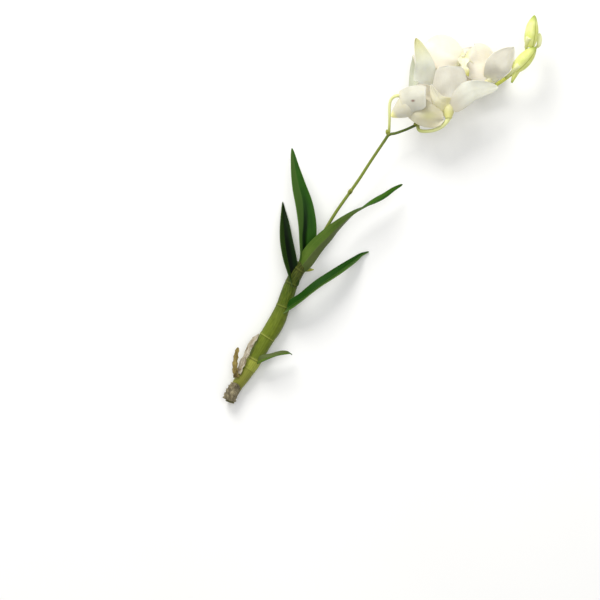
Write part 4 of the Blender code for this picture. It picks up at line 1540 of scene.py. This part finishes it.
def build_foliage() -> None:
    """Builds the cane, its leaves and its dry sheaths."""
    cane = CaneFinish(
        "cane_skin",
        (
            (0.0, tone(96, 88, 64)), (0.09, tone(104, 96, 64)), (0.115, tone(128, 128, 54)),
            (0.225, tone(130, 134, 54)), (0.25, tone(152, 160, 62)), (0.295, tone(154, 160, 64)),
            (0.315, tone(100, 114, 30)), (0.44, tone(97, 112, 26)), (0.48, tone(99, 114, 24)),
            (0.6, tone(88, 103, 18)),
            (0.68, tone(74, 92, 14)), (0.8, tone(58, 78, 10)), (0.84, tone(54, 68, 16)),
            (0.93, tone(50, 56, 16)),
            (1.0, tone(56, 64, 22)),
        ),
        (
            (0.105, 0.008, 0.3, 0.5), (0.238, 0.004, 0.25, 0.3), (0.305, 0.005, 0.4, 0.5),
            (0.459, 0.004, 0.5, 0.3),
            (0.669, 0.005, 0.2, 0.45), (0.821, 0.005, 0.15, 0.5), (0.918, 0.005, 0.1, 0.6),
        ),
        tone(168, 172, 84), tone(48, 50, 14), tone(60, 66, 16), tone(124, 136, 46),
    ).material()
    cut = CutFinish("cane_cut", tone(196, 186, 140), tone(140, 122, 78)).material()
    scale = StalkFinish("cane_scale", ((0.0, tone(104, 116, 34)), (1.0, tone(172, 176, 66))),
                        tone(80, 88, 28)).material()
    Cane().build(cane, cut, scale)
    # In each leaf finish the fifth colour is painted light and shade on the far half of the fold, lighter on most
    # leaves and darker on leaf_2; the dark fold colour is painted shade beside the midrib.
    broad = LeafFinish("leaf_broad", tone(26, 66, 5), tone(46, 90, 14), tone(92, 126, 44), tone(60, 96, 30),
                       tone(62, 90, 32), painted_half_share=0.8, painted_fold_shade=tone(4, 22, 3), painted_fold_shade_share=0.95,
                       painted_fold_shade_reach=0.6,
                       midrib_and_shade_lean=0.32).material()
    satin = Surface(rough=0.4, shine=0.05, relief=0.4, relief_depth=0.0004)
    folded = LeafFinish("leaf_folded", tone(8, 22, 4), tone(20, 42, 8), tone(70, 92, 44), tone(30, 50, 16),
                        tone(46, 70, 24), painted_half_share=0.9, painted_fold_shade=tone(5, 12, 4), painted_fold_shade_share=0.9,
                        painted_fold_shade_reach=0.7, surface=satin).material()
    slim = LeafFinish("leaf_slim", tone(40, 78, 16), tone(62, 100, 30), tone(116, 136, 84),
                      tone(96, 116, 66),
                      tone(16, 60, 4), painted_half_share=0.85, painted_fold_shade=tone(12, 44, 4), painted_fold_shade_share=0.5,
                      painted_fold_shade_reach=0.8, surface=satin).material()
    twisted = LeafFinish("leaf_twisted", tone(26, 66, 8), tone(46, 90, 16), tone(84, 112, 54),
                         tone(60, 84, 30),
                         tone(58, 96, 20), painted_half_share=0.85, painted_fold_shade=tone(12, 40, 6), painted_fold_shade_share=0.8,
                         painted_fold_shade_reach=0.35, surface=satin).material()
    under = LeafFinish("leaf_under", tone(68, 100, 26), tone(96, 120, 44), tone(66, 92, 28),
                       tone(104, 120, 62),
                       tone(88, 98, 56), painted_half_share=0.85,
                       surface=Surface(rough=0.5, shine=0.14, relief=0.5, relief_depth=0.0004)).material()
    faces = {"leaf_2": slim, "leaf_3": twisted, "leaf_5": folded, "leaf_1": under}
    for leaf in LEAVES:
        leaf.build(faces.get(leaf.name, broad), under)
    white = DryFinish("sheath_white", tone(216, 210, 190), tone(168, 152, 116),
                      tone(122, 98, 64)).material()
    straw = DryFinish("sheath_straw", tone(176, 158, 90), tone(118, 98, 50), tone(78, 62, 34)).material()
    grey = DryFinish("sheath_grey", tone(156, 146, 116), tone(100, 90, 66), tone(68, 58, 42)).material()
    for sheath, finish in zip(SHEATHS, (grey, white, straw)):
        sheath.build(finish, finish)


def build_flowers() -> None:
    """Builds the spike, its blooms with their lips, and its buds."""
    axis = StalkFinish(
        "spike_axis",
        ((0.0, tone(84, 96, 34)), (0.05, tone(112, 126, 44)), (0.3, tone(122, 138, 46)),
         (0.42, tone(110, 124, 36)),
         # The stops from 0.6 to 0.72 are painted light: the stretch of axis under the blooms is made pale against the
         # shade that falls on it.
         (0.465, tone(84, 102, 24)), (0.555, tone(66, 84, 18)), (0.6, tone(168, 174, 92)),
         (0.65, tone(214, 214, 156)), (0.72, tone(214, 214, 156)), (0.78, tone(190, 198, 84)),
         (0.86, tone(208, 214, 98)), (1.0, tone(214, 219, 114))),
        tone(84, 92, 30),
    ).material()
    stalk = StalkFinish("flower_stalk", ((0.0, tone(136, 148, 64)), (0.22, tone(194, 199, 124)),
                                         (0.5, tone(220, 223, 160)), (0.8, tone(224, 226, 160)),
                                         (1.0, tone(238, 240, 186))), tone(184, 190, 116)).material()
    bract = DryFinish("bract", tone(158, 164, 76), tone(120, 130, 48), tone(70, 84, 24),
                      thin=12.0).material()
    Spike().build(axis, stalk, bract)
    face = TepalFinish("petal_face", tone(236, 231, 214), tone(230, 222, 206), tone(226, 227, 176),
                       tone(238, 234, 220),
                       tone(216, 210, 184), foot_reach=0.24).material()
    # The outer side of a tepal is greyer and greener than the inner side, partly its own tone and partly painted shade;
    # its paler foot is partly painted light against the shade there.
    back = TepalFinish("petal_back_tone_and_painted_shade", tone(216, 213, 199), tone(202, 198, 183), tone(222, 220, 194),
                       tone(216, 216, 202),
                       tone(186, 183, 164), vein_share=0.3).material()
    # The near petal of bloom_1 is painted darker as painted shade, and carries a real brown bruise.
    bruised_in_painted_shade = TepalFinish("petal_bruised_in_painted_shade", tone(202, 201, 187), tone(192, 190, 174), tone(204, 200, 178),
                         tone(200, 200, 189), tone(182, 180, 162), bruise_at=(25.2, 105.9, 50.3),
                         bruise_size=1.9).material()
    tinged = TepalFinish("petal_tinged", tone(234, 230, 210), tone(225, 220, 194), tone(224, 217, 168),
                         tone(230, 227, 206), tone(200, 193, 150), foot_reach=0.9).material()
    # The foot of bloom_2's back sepal is painted pale as painted light against the shade of the blooms above it.
    lit_foot_outer = TepalFinish("petal_lit_foot_outer", tone(225, 227, 213), tone(216, 218, 202), tone(247, 248, 236),
                       tone(206, 204, 150),
                       tone(198, 199, 178), foot_reach=0.6, tip_reach=0.4, vein_share=0.3).material()
    # The back sepal of bloom_1 is painted greyer as painted shade, so that it does not read as lit.
    shaded_strip = TepalFinish("petal_shaded_strip", tone(186, 190, 168), tone(178, 182, 160), tone(196, 199, 180),
                        tone(186, 190, 164),
                        tone(168, 171, 148), vein_share=0.3).material()
    # The right petal of bloom_3 is painted darker and browner at its foot as painted shade.
    shade_foot_outer = TepalFinish("petal_shade_foot_outer", tone(211, 212, 199), tone(200, 200, 186), tone(196, 190, 172),
                       tone(214, 216, 204),
                       tone(184, 182, 164), foot_reach=0.5, vein_share=0.3).material()
    bowl = TepalFinish("petal_bowl", tone(206, 202, 178), tone(198, 192, 162), tone(202, 197, 170),
                       tone(214, 210, 194), tone(184, 178, 134), bruise=tone(203, 200, 152),
                       bruise_at=(41, 91.5, 47), bruise_size=7.0).material()
    lip_face = TepalFinish("lip_face", tone(242, 239, 214), tone(236, 231, 190), tone(234, 229, 172),
                           tone(178, 176, 42),
                           tone(206, 196, 112), tip_reach=0.6, vein_share=0.4).material()
    lip_back = TepalFinish("lip_back", tone(226, 222, 178), tone(212, 206, 142), tone(200, 198, 104),
                           tone(172, 170, 72),
                           tone(170, 164, 84), vein_share=0.4).material()
    blush = tone(200, 190, 130)
    pouch = FleshFinish("chin_pouch", tone(205, 202, 184), tone(240, 236, 156), blush, turn_low=0.72,
                        turn_high=0.95).material()
    chin = FleshFinish("chin", tone(226, 222, 178), tone(224, 218, 148), blush).material()
    olive = FleshFinish("chin_olive", tone(213, 210, 160), tone(208, 206, 134), blush).material()
    column = FleshFinish("column", tone(222, 221, 172), tone(236, 234, 204), blush).material()
    cap = FleshFinish("column_cap", tone(240, 237, 212), tone(232, 226, 170), blush).material()
    special = {"bloom_1_near_petal": bruised_in_painted_shade, "bloom_1_near_sepal": bowl, "bloom_3_left_sepal": tinged,
               "bloom_2_back_sepal": lit_foot_outer, "bloom_1_back_sepal": shaded_strip, "bloom_3_right_petal": shade_foot_outer}
    for bloom in BLOOMS:
        for tepal in bloom.tepals:
            bloom.build_tepal(tepal, face, special.get(f"{bloom.node}_{tepal.name}", back))
        bloom.build_chin({1: pouch, 3: olive}.get(bloom.number, chin))
        bloom.build_column(column, cap)
        bloom.build_lip(lip_face, lip_back)
    skin = BudFinish("bud_skin", tone(206, 213, 114), tone(226, 231, 152), tone(218, 222, 134),
                     tone(148, 168, 62),
                     tone(152, 160, 48)).material()
    # bud_3 is pale, partly as a young bud and partly painted light against the shadow of bud_2.
    pale_painted_lit = BudFinish("bud_pale_painted_lit", tone(242, 245, 192), tone(248, 249, 214), tone(236, 238, 172),
                      tone(222, 228, 152),
                      tone(216, 220, 150)).material()
    for bud in BUDS:
        bud.build(pale_painted_lit if bud.number == 3 else skin)


def main() -> None:
    """Builds the stem and its studio."""
    build_foliage()
    build_flowers()
    Studio().build(TableFinish("floor", tone(246, 246, 244), tone(242, 242, 241)).material())
    bpy.context.view_layer.update()


if __name__ == "__main__":
    main()
